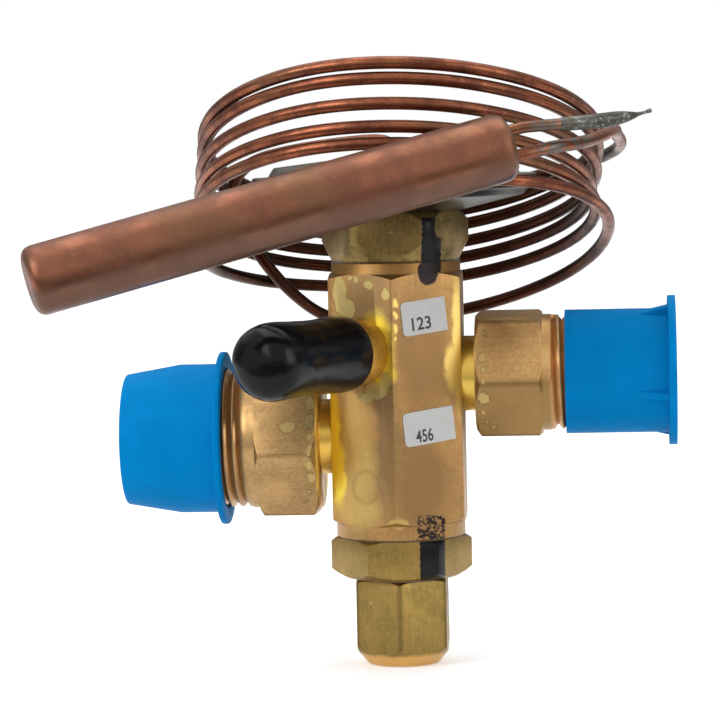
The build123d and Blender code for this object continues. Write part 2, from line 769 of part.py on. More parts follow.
with BuildPart() as buffer_plate:
    ring(0, buffer_diameter, buffer_bottom, buffer_top)
    chamfer(edges().sort_by(Axis.Z)[0], small_bevel)

# Push rods and their seals, one of each on either side of the port
rods = []
rod_seals = []
for side_name, place in zip(("front", "rear"), rod_places):
    with BuildPart() as rod:
        with BuildSketch(Plane.XY.offset(carrier_top)):
            with Locations(place):
                Circle(rod_diameter / 2)
        extrude(amount=buffer_bottom - carrier_top)
        chamfer(edges(), rod_bevel)
    rod.part.label = "push_rod_" + side_name
    rods.append(rod.part)
    with BuildPart() as rod_seal:
        with BuildSketch(Plane.XY.offset(rod_seal_bottom)):
            with Locations(place):
                Circle(rod_seal_diameter / 2 - snug_gap)
                Circle(rod_diameter / 2 + running_gap, mode=Mode.SUBTRACT)
        extrude(amount=rod_seal_height)
    rod_seal.part.label = "rod_seal_" + side_name
    rod_seals.append(rod_seal.part)

with BuildPart() as capillary_socket:
    turned([
        (socket_bore / 2, dome_top - case_wall),
        (socket_diameter / 2, dome_top - case_wall),
        (socket_diameter / 2, dome_top),
        (socket_diameter / 2 - socket_lip, dome_top + socket_lip),
        (capillary_diameter / 2 + snug_gap, dome_top + socket_lip),
        (capillary_diameter / 2 + snug_gap, dome_top - socket_seat),
        (socket_bore / 2, dome_top - socket_seat),
    ])

# Sensing bulb: a closed tube with two small tubes brazed into its right end
bulb_axis = Vector(*bulb_aim).normalized()
bulb_start = Vector(bulb_left_end[0], bulb_left_end[1], dome_top + bulb_left_end[2])
bulb_end = bulb_start + bulb_axis * bulb_length
bulb_up = (up - bulb_axis * up.dot(bulb_axis)).normalized()
bulb_plane = Plane(origin=bulb_start, x_dir=bulb_up, z_dir=bulb_axis)
with BuildPart() as sensing_bulb:
    with BuildSketch(bulb_plane):
        Circle(bulb_diameter / 2)
    extrude(amount=bulb_length)
    chamfer(edges().filter_by(GeomType.CIRCLE).sort_by(Axis.X)[0], bulb_end_bevel)
    chamfer(edges().filter_by(GeomType.CIRCLE).sort_by(Axis.X)[-1], bulb_shoulder)
    with BuildSketch(bulb_plane.offset(bulb_length - bulb_hole_depth)):
        with Locations((charge_tube_lift, 0)):
            Circle(charge_tube_diameter / 2 + snug_gap)
        with Locations((-capillary_drop, 0)):
            Circle(capillary_diameter / 2 + snug_gap)
    extrude(amount=bulb_hole_depth, mode=Mode.SUBTRACT)


def seen_place(across, back, height):
    """A point given as seen from the labels' side: to the right, away, and above the dome."""
    turn = radians(coil_heading)
    return Vector(
        across * cos(turn) - back * sin(turn), across * sin(turn) + back * cos(turn), dome_top + height
    )


def fillet_radii(points):
    """The largest gentle arc at each inner point of a route of straight runs."""
    radii = []
    for before, here, after in zip(points, points[1:], points[2:]):
        shorter = min((here - before).length, (after - here).length)
        radii.append(arc_share * shorter / tan(radians((here - before).get_angle(after - here) / 2)))
    return radii


def many_sided(plane, width, thickness):
    """The section of a tube, round or flattened, as a many-sided outline."""
    corners = [2 * pi * number / tube_sides for number in range(tube_sides)]
    with BuildSketch(plane) as outline:
        with BuildLine():
            Polyline(*[(width / 2 * cos(turn), thickness / 2 * sin(turn)) for turn in corners], close=True)
        make_face()
    return outline.sketch


def drawn_tube(points, diameter):
    """A tube along straight runs joined by tangent arcs."""
    with BuildLine() as route:
        FilletPolyline(*points, radius=fillet_radii(points))
    start_plane = Plane(origin=points[0], z_dir=points[1] - points[0])
    sweep(many_sided(start_plane, diameter, diameter), path=route.wire())


# Charge tube: tinned and pinched flat at its free end
charge_start = bulb_end + bulb_up * charge_tube_lift
charge_bend = charge_start + bulb_axis * charge_straight
charge_middle = seen_place(*charge_tube_middle)
charge_end = seen_place(*charge_tube_end)
charge_way = (charge_end - charge_middle).normalized()
pinch_start = charge_end - charge_way * pinch_length
pinch_middle = pinch_start + charge_way * pinch_length * pinch_share
charge_route = [charge_start - bulb_axis * (bulb_hole_depth - snug_gap), charge_bend, charge_middle, pinch_start]
with BuildPart() as charge_tube:
    drawn_tube(charge_route, charge_tube_diameter)
    loft([
        many_sided(Plane(pinch_start, up, charge_way), charge_tube_diameter, charge_tube_diameter),
        many_sided(Plane(pinch_middle, up, charge_way), pinch_width, pinch_thickness),
        many_sided(Plane(charge_end, up, charge_way), pinch_tip_width, pinch_tip_thickness),
    ], ruled=True)

# Capillary tube: out of the socket, down behind the head, round the head, and to the bulb
corner_reach = 1 / cos(pi / coil_points_per_turn)


def coil_point(turn, angle):
    """A corner of the coil's route; angle 0 is behind the valve, 90 on the right."""
    front = coil_front_heights[turn]
    if angle <= coil_front_angles[turn]:
        back = coil_back_heights[turn]
        phase = (angle - coil_back_angle) / (coil_front_angles[turn] - coil_back_angle)
    else:
        back = coil_back_heights[turn + 1]
        phase = 1 + (angle - coil_front_angles[turn]) / (360 + coil_back_angle - coil_front_angles[turn])
    across = sin(radians(angle)) * corner_reach
    away = cos(radians(angle)) * corner_reach
    reach = coil_right_reach[turn] if across > 0 else coil_left_reach[turn]
    depth = coil_back_depth if away > 0 else coil_front_depths[turn]
    height = (front + back) / 2 - corner_reach * (front - back) / 2 * cos(pi * phase)
    return seen_place(coil_offset + reach * across, depth * away, height)


def rising_point(angle, outwards, height):
    """A corner of the last stretch, which rides above the coil and then leaves it."""
    across = (coil_right_reach[-1] + outwards) * corner_reach * sin(radians(angle))
    away = (coil_back_depth + outwards) * corner_reach * cos(radians(angle))
    return seen_place(coil_offset + across, away, height)


capillary_route = [Vector(0, 0, dome_top - socket_seat + snug_gap), Vector(0, 0, dome_top + elbow_rise)]
capillary_route += [seen_place(*place) for place in lead_places]
for turn in range(len(coil_front_heights)):
    for step in range(coil_points_per_turn):
        capillary_route.append(coil_point(turn, coil_back_angle + 360 / coil_points_per_turn * step))
capillary_route.append(coil_point(len(coil_front_heights) - 1, 360 + coil_back_angle))
capillary_route += [rising_point(*place) for place in rising_places]
capillary_route += [seen_place(*place) for place in return_places]
capillary_end = bulb_end - bulb_up * capillary_drop
capillary_route.append(capillary_end + bulb_axis * capillary_straight)
capillary_route.append(capillary_end - bulb_axis * (bulb_hole_depth - snug_gap))

with BuildPart() as capillary_tube:
    drawn_tube(capillary_route, capillary_diameter)

# Labels: two small stickers on the front right flat of the body
label_way = Vector(cos(radians(label_heading)), sin(radians(label_heading)), 0)


def sticker(rise, across, width, height):
    """A thin sticker, round at its two left corners, slightly askew on the body's flat."""
    middle = label_way * (face + snug_gap) + up * (body_bottom + rise)
    with BuildSketch(Plane(origin=middle, x_dir=up.cross(label_way), z_dir=label_way)) as outline:
        with Locations(Location((across, 0), label_tilt)):
            Rectangle(width, height)
        fillet(outline.vertices().sort_by(Axis.X)[:2], label_round)
    extrude(outline.sketch, amount=label_thickness)


with BuildPart() as upper_label:
    sticker(upper_label_rise, upper_label_across, upper_label_width, label_height)

with BuildPart() as lower_label:
    sticker(lower_label_rise, lower_label_across, lower_label_width, label_height)

# Write one file for each piece
os.makedirs("parts", exist_ok=True)
pieces = {
    "seal_cap": seal_cap,
    "seal_cap_gasket": seal_cap_gasket,
    "bottom_nut": bottom_nut,
    "body_gasket": body_gasket,
    "adjusting_stem": adjusting_stem,
    "stem_packing": stem_packing,
    "packing_nut": packing_nut,
    "spring_guide": spring_guide,
    "superheat_spring": superheat_spring,
    "pin_carrier": pin_carrier,
    "valve_pin": valve_pin,
    "seat_insert": seat_insert,
    "valve_body": valve_body,
    "outlet_fitting": outlet_fitting,
    "inlet_fitting": inlet_fitting,
    "equalizer_fitting": equalizer_fitting,
    "inlet_strainer": inlet_strainer,
    "outlet_cap": outlet_cap,
    "inlet_cap": inlet_cap,
    "equalizer_cap": equalizer_cap,
    "element_nut": element_nut,
    "lower_case": lower_case,
    "diaphragm": diaphragm,
    "upper_case": upper_case,
    "buffer_plate": buffer_plate,
    "capillary_socket": capillary_socket,
    "capillary_tube": capillary_tube,
    "sensing_bulb": sensing_bulb,
    "charge_tube": charge_tube,
    "upper_label": upper_label,
    "lower_label": lower_label,
}
for label, piece in pieces.items():
    piece.part.label = label
    export_step(piece.part, f"parts/{label}.step")
for rod_piece in rods + rod_seals:
    export_step(rod_piece, f"parts/{rod_piece.label}.step")
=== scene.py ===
# %% [markdown]
# # A refrigerant expansion valve
#
# A real valve of this kind is brazed together from brass bar, pressed steel and copper tube, and
# shipped with plastic caps over its threads. The construction model already has every piece in its
# place, so this lesson gives the pieces that are seen their soft edges, threads, stains and gloss,
# and lights them as a catalogue photo would. Lengths are written in millimetres and multiplied by
# `mm`, because Blender works in metres.

# %% Load the construction model
import json
from math import cos, pi, radians, sin, sqrt

import bpy
from mathutils import Matrix, Vector

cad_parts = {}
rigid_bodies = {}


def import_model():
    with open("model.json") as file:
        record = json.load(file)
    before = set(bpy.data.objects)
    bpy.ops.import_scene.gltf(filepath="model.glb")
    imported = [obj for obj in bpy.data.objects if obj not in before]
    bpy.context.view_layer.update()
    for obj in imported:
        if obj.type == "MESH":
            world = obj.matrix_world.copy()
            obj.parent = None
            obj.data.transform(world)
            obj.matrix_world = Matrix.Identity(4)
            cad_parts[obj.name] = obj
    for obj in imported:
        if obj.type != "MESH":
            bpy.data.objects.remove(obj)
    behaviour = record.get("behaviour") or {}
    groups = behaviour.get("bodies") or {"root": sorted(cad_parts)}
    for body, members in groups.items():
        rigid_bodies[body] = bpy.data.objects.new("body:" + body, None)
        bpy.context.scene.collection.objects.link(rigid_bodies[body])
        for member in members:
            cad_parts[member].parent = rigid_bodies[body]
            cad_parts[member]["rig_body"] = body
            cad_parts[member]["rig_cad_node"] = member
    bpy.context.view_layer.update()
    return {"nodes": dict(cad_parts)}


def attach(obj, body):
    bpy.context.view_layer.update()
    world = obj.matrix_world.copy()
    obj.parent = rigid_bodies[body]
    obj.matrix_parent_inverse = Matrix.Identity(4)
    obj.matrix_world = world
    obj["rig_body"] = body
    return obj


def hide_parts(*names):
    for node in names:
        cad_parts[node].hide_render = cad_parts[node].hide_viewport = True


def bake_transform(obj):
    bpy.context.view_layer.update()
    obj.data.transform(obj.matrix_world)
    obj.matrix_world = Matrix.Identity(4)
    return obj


mm = 0.001
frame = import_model()

# %% Sizes of the construction model that come back below, in millimetres and degrees
left_front = 240
right_front = 300
flat_distance = 12.7
outlet_height = 44.4
inlet_height = 56.3
dome_top = 99.0
bulb_length = 91.0
thread_pitch = 1.814
thread_depth = 1.0
print("the front flats face", left_front, "and", right_front, "degrees from the inlet")

# %% [markdown]
# ## The camera
#
# The photo was taken from far away with a long lens, a little above the valve and a little to its
# right, and the valve leans slightly in it. A long lens keeps the hexagons' edges parallel. The
# camera is turned by three angles in the order in which a photographer would: heading, tilt, roll.

# %% Place the camera
camera_place = Vector((42.9, -638.6, 104.0)) * mm
camera_heading = 4.5
camera_tilt = 86.0
camera_roll = -1.3
camera_lens = 164.8

camera_data = bpy.data.cameras.new("camera")
camera_data.lens = camera_lens
camera_data.sensor_width = 36
camera_data.clip_start = 0.01
camera_data.clip_end = 20
camera = bpy.data.objects.new("camera", camera_data)
bpy.context.scene.collection.objects.link(camera)
camera_turn = (
    Matrix.Rotation(radians(camera_heading), 3, "Z")
    @ Matrix.Rotation(radians(camera_tilt), 3, "X")
    @ Matrix.Rotation(radians(camera_roll), 3, "Z")
)
camera.location = camera_place
camera.rotation_euler = camera_turn.to_euler()
bpy.context.scene.camera = camera
print("camera at", camera_place)

# %% [markdown]
# ## Helpers for modelling
#
# A turned piece is grown ring by ring, as a potter raises a bowl: a filled circle is added, its face
# is extruded to the next height and scaled to the next radius, and so on. The first and the last
# face close the ends. Every other piece starts as a copy of its construction node. An operator works
# on all that is selected, so the helpers deselect everything first.

# %% Helpers for modelling
def start_fresh():
    """Select nothing."""
    bpy.ops.object.select_all(action="DESELECT")


def choose(piece):
    """Make one piece the only selected and the active one."""
    start_fresh()
    piece.select_set(True)
    bpy.context.view_layer.objects.active = piece


def open_mesh(piece):
    """Go into edit mode with the whole of a piece selected."""
    choose(piece)
    bpy.ops.object.mode_set(mode="EDIT")
    bpy.ops.mesh.select_all(action="SELECT")


def close_mesh():
    """Go back to object mode."""
    bpy.ops.object.mode_set(mode="OBJECT")


def write_place():
    """Write the chosen piece's place, turn and size into its mesh, so that it stands at the origin."""
    bpy.ops.object.transform_apply(location=True, rotation=True, scale=True)


def placed(piece, matrix):
    """Move and turn a piece, and write that into its mesh."""
    piece.matrix_world = matrix
    choose(piece)
    write_place()


def smoothed(piece, angle):
    """Shade a piece smooth, apart from the edges that are sharper than an angle."""
    choose(piece)
    bpy.ops.object.shade_smooth_by_angle(angle=radians(angle))


def grown(name, rings, sides):
    """A closed piece grown along +Z from rings of (height, radius) in millimetres."""
    start_fresh()
    height, radius = rings[0]
    bpy.ops.mesh.primitive_circle_add(
        vertices=sides, radius=radius * mm, fill_type="NGON", location=(0, 0, height * mm)
    )
    piece = bpy.context.object
    piece.name = name
    write_place()
    open_mesh(piece)
    for next_height, next_radius in rings[1:]:
        bpy.ops.mesh.extrude_region_move(
            TRANSFORM_OT_translate={"value": (0, 0, (next_height - height) * mm)}
        )
        if next_radius != radius:
            share = next_radius / radius
            bpy.ops.transform.resize(value=(share, share, 1), center_override=(0, 0, next_height * mm))
        height, radius = next_height, next_radius
    bpy.ops.mesh.select_all(action="SELECT")
    bpy.ops.mesh.normals_make_consistent(inside=False)
    close_mesh()
    return piece


def applied(piece, kind, **settings):
    """Add a modifier with these settings and apply it."""
    choose(piece)
    modifier = piece.modifiers.new(kind, kind)
    for setting, value in settings.items():
        setattr(modifier, setting, value)
    bpy.ops.object.modifier_apply(modifier=modifier.name)


def carved(piece, tool):
    """Cut a tool's shape out of a piece, and throw the tool away."""
    applied(piece, "BOOLEAN", object=tool, operation="DIFFERENCE", solver="EXACT")
    bpy.data.objects.remove(tool)


def softened(piece, width, segments=2):
    """Round the sharp edges by a width in millimetres and shade the rest smooth."""
    applied(
        piece, "BEVEL", width=width * mm, segments=segments, limit_method="ANGLE", angle_limit=radians(30)
    )
    smoothed(piece, 30)


def laid_along(piece, way, start):
    """Turn a piece from +Z to another direction, keep its +X upwards, and move it to its start."""
    way = Vector(way).normalized()
    upwards = Vector((0, 0, 1))
    across = (upwards - way * way.dot(upwards)).normalized()
    turn = Matrix((across, way.cross(across), way)).transposed().to_4x4()
    placed(piece, Matrix.Translation(Vector(start) * mm) @ turn)


def cleaned_copy(name, node):
    """A copy of a construction node as one joined mesh with flat faces whole again."""
    source = frame["nodes"][node]
    piece = source.copy()
    piece.data = source.data.copy()
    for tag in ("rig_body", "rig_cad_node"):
        del piece[tag]
    piece.parent = None
    piece.hide_viewport = piece.hide_render = False
    piece.name = name
    bpy.context.scene.collection.objects.link(piece)
    open_mesh(piece)
    bpy.ops.mesh.remove_doubles(threshold=0.002 * mm)
    bpy.ops.mesh.dissolve_limited(angle_limit=radians(0.5))
    close_mesh()
    return piece


def dressed(piece, slot, finish, *nodes):
    """Give a piece its finish, and hide the nodes that it stands for; the slot is not used."""
    piece.data.materials.clear()
    piece.data.materials.append(finish)
    if nodes:
        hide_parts(*nodes)
    print(piece.name, "has", len(piece.data.polygons), "faces")


def settled(piece, body, slot, finish, *nodes):
    """Dress a piece and let it ride on a body."""
    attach(piece, body)
    dressed(piece, slot, finish, *nodes)


# %% [markdown]
# ## Helpers for finishes
#
# A finish is a small graph of nodes. These helpers add the nodes that come back in every finish:
# the place on the piece in millimetres, noise at a grain size in millimetres, and blends between
# two colours. All read Object coordinates, so a stain stays where it is when the piece moves.

# %% Helpers for finishes
def new_finish(name, roughness, metallic=0.0, specular=0.5):
    """An empty finish with its shader."""
    material = bpy.data.materials.new(name)
    material.use_nodes = True
    tree = material.node_tree
    shader = tree.nodes["Principled BSDF"]
    shader.inputs["Roughness"].default_value = roughness
    shader.inputs["Metallic"].default_value = metallic
    shader.inputs["Specular IOR Level"].default_value = specular
    return material, tree, shader


def add(tree, kind, **settings):
    """Add a node with these settings."""
    node = tree.nodes.new(kind)
    for setting, value in settings.items():
        setattr(node, setting, value)
    return node


def feed(tree, value, socket):
    """Link a socket, or write a plain value into it."""
    if isinstance(value, bpy.types.NodeSocket):
        tree.links.new(value, socket)
    else:
        socket.default_value = value


def place_in_mm(tree, stretch=(1, 1, 1)):
    """The place on the piece in millimetres, stretched for long or wide grain."""
    coordinates = add(tree, "ShaderNodeTexCoord")
    mapping = add(tree, "ShaderNodeMapping")
    mapping.inputs["Scale"].default_value = [1000 * share for share in stretch]
    feed(tree, coordinates.outputs["Object"], mapping.inputs["Vector"])
    return mapping.outputs["Vector"]


def texture(tree, kind, place, size, **settings):
    """A texture node whose grain has about this size in millimetres."""
    node = add(tree, kind, **settings)
    feed(tree, place, node.inputs["Vector"])
    node.inputs["Scale"].default_value = 1 / size
    return node


def noise(tree, place, size, detail=4.0, roughness=0.55):
    """Smooth random spots of about this size in millimetres."""
    node = texture(tree, "ShaderNodeTexNoise", place, size)
    node.inputs["Detail"].default_value = detail
    node.inputs["Roughness"].default_value = roughness
    return node.outputs["Fac"]


def sums(tree, operation, first, second=0.0):
    """One step of arithmetic."""
    node = add(tree, "ShaderNodeMath", operation=operation)
    feed(tree, first, node.inputs[0])
    feed(tree, second, node.inputs[1])
    return node.outputs[0]


def times(tree, first, second):
    """One value times another."""
    return sums(tree, "MULTIPLY", first, second)


def either(tree, first, second):
    """Two masks as one."""
    return sums(tree, "MAXIMUM", first, second)


def vectors(tree, operation, first, second=(0, 0, 0)):
    """One step of arithmetic on places or directions."""
    node = add(tree, "ShaderNodeVectorMath", operation=operation)
    feed(tree, first, node.inputs[0])
    feed(tree, second, node.inputs[1])
    return node.outputs["Value" if operation in ("DOT_PRODUCT", "LENGTH") else "Vector"]


def between(tree, value, low, high, to_low=0.0, to_high=1.0):
    """A smooth step from one value to another as the input goes from low to high."""
    node = add(tree, "ShaderNodeMapRange", interpolation_type="SMOOTHSTEP")
    sockets = ("Value", "From Min", "From Max", "To Min", "To Max")
    for socket, given in zip(sockets, (value, low, high, to_low, to_high)):
        feed(tree, given, node.inputs[socket])
    return node.outputs["Result"]


def blended(tree, share, first, second):
    """A blend of two colours."""
    node = add(tree, "ShaderNodeMix", data_type="RGBA")
    feed(tree, share, node.inputs[0])
    for socket, color in ((node.inputs[6], first), (node.inputs[7], second)):
        feed(tree, color if isinstance(color, bpy.types.NodeSocket) else (*color, 1), socket)
    return node.outputs[2]


def parts_of(tree, place):
    """The three coordinates of a place."""
    node = add(tree, "ShaderNodeSeparateXYZ")
    feed(tree, place, node.inputs[0])
    return node.outputs


def along(tree, place, way):
    """How far a place lies along a direction, in millimetres."""
    return vectors(tree, "DOT_PRODUCT", place, way)


def bumped(tree, shader, height, strength, distance):
    """Raise the surface by a height value; the distance is in millimetres."""
    node = add(tree, "ShaderNodeBump")
    node.inputs["Strength"].default_value = strength
    node.inputs["Distance"].default_value = distance * mm
    feed(tree, height, node.inputs["Height"])
    feed(tree, node.outputs["Normal"], shader.inputs["Normal"])


def wobbled(tree, place, size, amount):
    """The place pushed about by noise, so that a stain's edge is ragged."""
    cloud = texture(tree, "ShaderNodeTexNoise", place, size)
    cloud.inputs["Detail"].default_value = 3.0
    shift = vectors(tree, "SUBTRACT", cloud.outputs["Color"], (0.5, 0.5, 0.5))
    return vectors(tree, "ADD", place, vectors(tree, "MULTIPLY", shift, (2 * amount,) * 3))


def facing(tree, place, heading):
    """The place as seen on a side of the valve: across it, out of it, and up."""
    turn = radians(heading)
    joined = add(tree, "ShaderNodeCombineXYZ")
    feed(tree, along(tree, place, (-sin(turn), cos(turn), 0)), joined.inputs[0])
    feed(tree, along(tree, place, (cos(turn), sin(turn), 0)), joined.inputs[1])
    feed(tree, parts_of(tree, place)[2], joined.inputs[2])
    return joined.outputs[0]


def spot(tree, place, middle, reach, edge):
    """One inside an oval around a point and nothing outside it."""
    share = vectors(tree, "DIVIDE", vectors(tree, "SUBTRACT", place, middle), reach)
    return between(tree, vectors(tree, "LENGTH", share), 1 - edge, 1 + edge, 1.0, 0.0)


def spots(tree, place, ovals, edge):
    """Several ovals as one mask; each is a middle and a reach."""
    mask = 0.0
    for middle, reach in ovals:
        mask = either(tree, spot(tree, place, middle, reach, edge), mask)
    return mask


def drops(tree, place, size, share):
    """Round drops of about this size at random places; the share is how many of them show."""
    cells = texture(tree, "ShaderNodeTexVoronoi", place, 2.4 * size)
    inside = between(tree, cells.outputs["Distance"], 0.17, 0.25, 1.0, 0.0)
    chance = parts_of(tree, cells.outputs["Color"])[0]
    return times(tree, inside, sums(tree, "LESS_THAN", chance, share))


def tinted(tree, shader, mask, color):
    """Lay a colour over what a shader already has, where the mask is one."""
    under = shader.inputs["Base Color"].links[0].from_socket
    feed(tree, blended(tree, mask, under, color), shader.inputs["Base Color"])


def painted(tree, shader, mask, color, roughness, base_roughness=0.42):
    """Lay a coat of paint over metal where the mask is one."""
    tinted(tree, shader, mask, color)
    levels = {"Metallic": (0.8, 0.0), "Roughness": (base_roughness, roughness), "Specular IOR Level": (0.5, 0.12)}
    for socket, (bare, coated) in levels.items():
        feed(tree, between(tree, mask, 0, 1, bare, coated), shader.inputs[socket])


# %% [markdown]
# ## Brass
#
# The brass is bar stock that was machined, brazed in a flame and left to tarnish, so it is not the
# bright yellow of polished brass. Two noises of different sizes mix a dark, a middle and a light
# tone, a long thin noise draws the machining lines, and the roughness follows the slower noise.

# %% Brass finishes
flux = (0.44, 0.36, 0.13)
rim_brown = (0.17, 0.10, 0.03)
gold = (0.90, 0.68, 0.05)


def brass(name, dark, middle, light, lines=(1, 1, 0.05), stains_and_shade=(), drop_share=0.12):
    """Tarnished brass; each mark, whether a stain or painted shade, is a function that gives a mask, a color, a
    strength and a rim.
    """
    material, tree, shader = new_finish(name, 0.4, 0.8)
    place = place_in_mm(tree)
    clouds = between(tree, noise(tree, place, 8, 5, 0.6), 0.36, 0.64)
    grain = between(tree, noise(tree, place, 0.7, 4, 0.65), 0.32, 0.68)
    streaks = noise(tree, place_in_mm(tree, lines), 0.32, 4, 0.6)
    color = blended(tree, clouds, dark, middle)
    color = blended(tree, times(tree, grain, 0.4), color, light)
    color = blended(tree, between(tree, streaks, 0.42, 0.72, 0.0, 0.4), color, dark)
    color = blended(tree, between(tree, streaks, 0.5, 0.3, 0.0, 0.22), color, light)
    specks = drops(tree, wobbled(tree, place, 2.2, 0.7), 0.8, drop_share)
    color = blended(tree, times(tree, specks, 0.45), color, flux)
    for mask_of, stain, strength, *rim in stains_and_shade:
        mask = mask_of(tree, place)
        if rim:
            edge = times(tree, between(tree, mask, 0.02, 0.25), rim[0])
            color = blended(tree, edge, color, rim_brown)
            mask = between(tree, mask, 0.4, 0.8)
        color = blended(tree, times(tree, mask, strength), color, stain)
    feed(tree, color, shader.inputs["Base Color"])
    feed(tree, between(tree, clouds, 0, 1, 0.48, 0.32), shader.inputs["Roughness"])
    bumped(tree, shader, sums(tree, "ADD", times(tree, streaks, 0.5), times(tree, grain, 0.25)), 0.3, 0.04)
    return material, tree, shader, place


# %% [markdown]
# The flame left its marks. Flux dried as pale drops near every brazed joint, the brass turned gold
# beside them, and a felt pen drew one stroke over each screwed joint, so that a turned nut would
# show. All are masks, and a few functions make them: ragged ovals on a flat of the body or at any
# place, a step at some distance, and dark lines along a bar's corners. These lines are painted shade,
# for the narrow bevels there that read darker, and a few of the ovals and steps are painted shade too.

# %% Kinds of stains and painted shade
def on_flat(heading, grain, ragged, depth, edge, *ovals):
    """Ragged ovals on a flat of the body; each is across, height, and its reach in both."""
    places = [((across, flat_distance, up), (wide, depth, tall)) for across, up, wide, tall in ovals]

    def mask_of(tree, place):
        return spots(tree, wobbled(tree, facing(tree, place, heading), grain, ragged), places, edge)
    return mask_of


def at_places(grain, ragged, edge, *ovals):
    """Ragged ovals anywhere; each is a middle and a reach."""
    def mask_of(tree, place):
        return spots(tree, wobbled(tree, place, grain, ragged), ovals, edge)
    return mask_of


def stepped(part, near, far, grain=0.0):
    """A step from 0 to 1 between two distances along x (part 0) or z (part 2), ragged if it has grain."""
    def mask_of(tree, place):
        reach = sums(tree, "ABSOLUTE", parts_of(tree, place)[part])
        if grain:
            reach = sums(tree, "ADD", reach, noise(tree, place, grain))
        return between(tree, reach, near, far)
    return mask_of


def corner_shade(radius, height=None):
    """Painted shade in lines along the corners of an upright bar, or of one that lies along x at a height."""
    def mask_of(tree, place):
        x, y, z = parts_of(tree, place)
        other = x if height is None else sums(tree, "SUBTRACT", z, height)
        square = sums(tree, "ADD", times(tree, y, y), times(tree, other, other))
        return between(tree, sums(tree, "SQRT", square), radius - 0.4, radius - 0.15)
    return mask_of


def ring_mark(tree, place):
    """A faint round mark low on the left front flat."""
    face = facing(tree, place, left_front)
    middle = (0.6, flat_distance, 35.5)
    outer = spot(tree, face, middle, (3.4, 2, 3.4), 0.12)
    return sums(tree, "SUBTRACT", outer, spot(tree, face, middle, (2.7, 2, 2.7), 0.2))


def crazed_film(tree, place):
    """A dried film on the inlet hexagon's flats that has crazed like old leather."""
    reach = parts_of(tree, place)[0]
    flats = times(tree, between(tree, reach, 17.8, 18.6), between(tree, reach, 28.6, 28.0))
    patchy = times(tree, flats, between(tree, noise(tree, place, 4.0, 3, 0.6), 0.4, 0.6))
    cells = texture(
        tree, "ShaderNodeTexVoronoi", wobbled(tree, place, 1.1, 1.1), 1.2, feature="DISTANCE_TO_EDGE"
    )
    return times(tree, between(tree, cells.outputs["Distance"], 0.0, 0.16, 1.0, 0.0), patchy)


def smudges(tree, place):
    """Dark smudges on the element nut."""
    return between(tree, noise(tree, place_in_mm(tree, (0.35, 0.35, 1)), 1.4, 5, 0.65), 0.52, 0.72)


# %% The body's brass: brown and gold patches and painted shade over the right front flat first, then flux, which dried last
body_stains_and_shade = [
    (on_flat(
        left_front, 4.0, 2.0, 2.5, 0.5, (2.5, 72.5, 5.5, 7.5), (5.5, 45, 2.6, 14)
    ), (0.19, 0.115, 0.05), 0.75),
    (on_flat(
        left_front, 5.0, 2.0, 3, 0.5, (-2.0, 41.0, 4.6, 12.0), (-1.0, 31.0, 4.6, 4.0)
    ), (0.52, 0.36, 0.11), 0.6),
    # Painted shade: the right front flat is painted darker over most of its face, to hold back the lamp's bright
    # reflection there.
    (on_flat(
        right_front, 5.0, 2.0, 3, 0.5, (-1.0, 62.0, 6.0, 13.0), (-1.5, 36.0, 6.0, 10.0)
    ), (0.20, 0.11, 0.04), 0.85),
    (on_flat(
        left_front, 3.0, 1.2, 3, 0.4,
        (-6.9, 45.0, 1.7, 11.5), (-5.6, 38.0, 1.5, 6.0), (3.6, 64.5, 3.4, 4.5), (4.8, 59.0, 2.6, 4.5),
    ), gold, 0.75),
    (on_flat(0, 1.8, 0.8, 2, 0.2, (2.0, 66.0, 2.4, 1.6), (-3.5, 48.0, 1.4, 2.2)), flux, 0.8),
    (on_flat(60, 1.8, 0.8, 2, 0.2, (-3.0, 70.0, 1.6, 2.8), (4.2, 40.0, 1.0, 1.2)), flux, 0.8),
    (on_flat(120, 1.8, 0.8, 2, 0.2, (1.5, 60.0, 2.2, 3.0), (-4.6, 36.0, 0.9, 1.5)), flux, 0.8),
    (on_flat(180, 1.8, 0.8, 2, 0.2, (3.6, 55.5, 1.8, 1.4), (-3.0, 34.0, 1.6, 1.0)), flux, 0.8),
    (ring_mark, (0.16, 0.11, 0.04), 0.35),
    (on_flat(
        right_front, 2.0, 0.8, 2, 0.35, (6.9, 62.0, 1.3, 12.0), (5.6, 58.0, 1.8, 4.5),
        (-6.5, 70.9, 0.5, 0.9), (-6.6, 68.6, 0.4, 0.7), (-6.6, 66.2, 0.5, 0.9), (-6.6, 64.2, 0.35, 0.5),
    ), (0.80, 0.58, 0.16), 0.75),
    (on_flat(
        left_front, 1.6, 0.7, 1.5, 0.3, (-4.6, 72.6, 1.7, 3.4), (-3.0, 69.6, 2.0, 2.2), (2.1, 74.4, 1.1, 0.9),
        (6.0, 72.6, 1.0, 1.1), (-0.9, 75.4, 0.5, 0.6), (-2.0, 75.6, 0.4, 0.4), (3.4, 54.2, 2.6, 1.7),
        (1.2, 52.6, 1.6, 0.9), (5.6, 56.2, 1.3, 1.6), (4.6, 68.9, 0.7, 0.5),
    ), flux, 0.65, 0.3),
    (at_places(1.0, 0.4, 0.12, ((0.4, -14.2, 28.3), (2.2, 2.5, 1.3))), (0.45, 0.30, 0.09), 0.8),
    (stepped(2, 76.2, 76.8), (0.36, 0.19, 0.05), 0.6),
]
body_parts = brass(
    "body_brass", (0.24, 0.135, 0.045), (0.36, 0.19, 0.062), (0.46, 0.27, 0.10), stains_and_shade=body_stains_and_shade
)
print(len(body_stains_and_shade), "stains on the body")
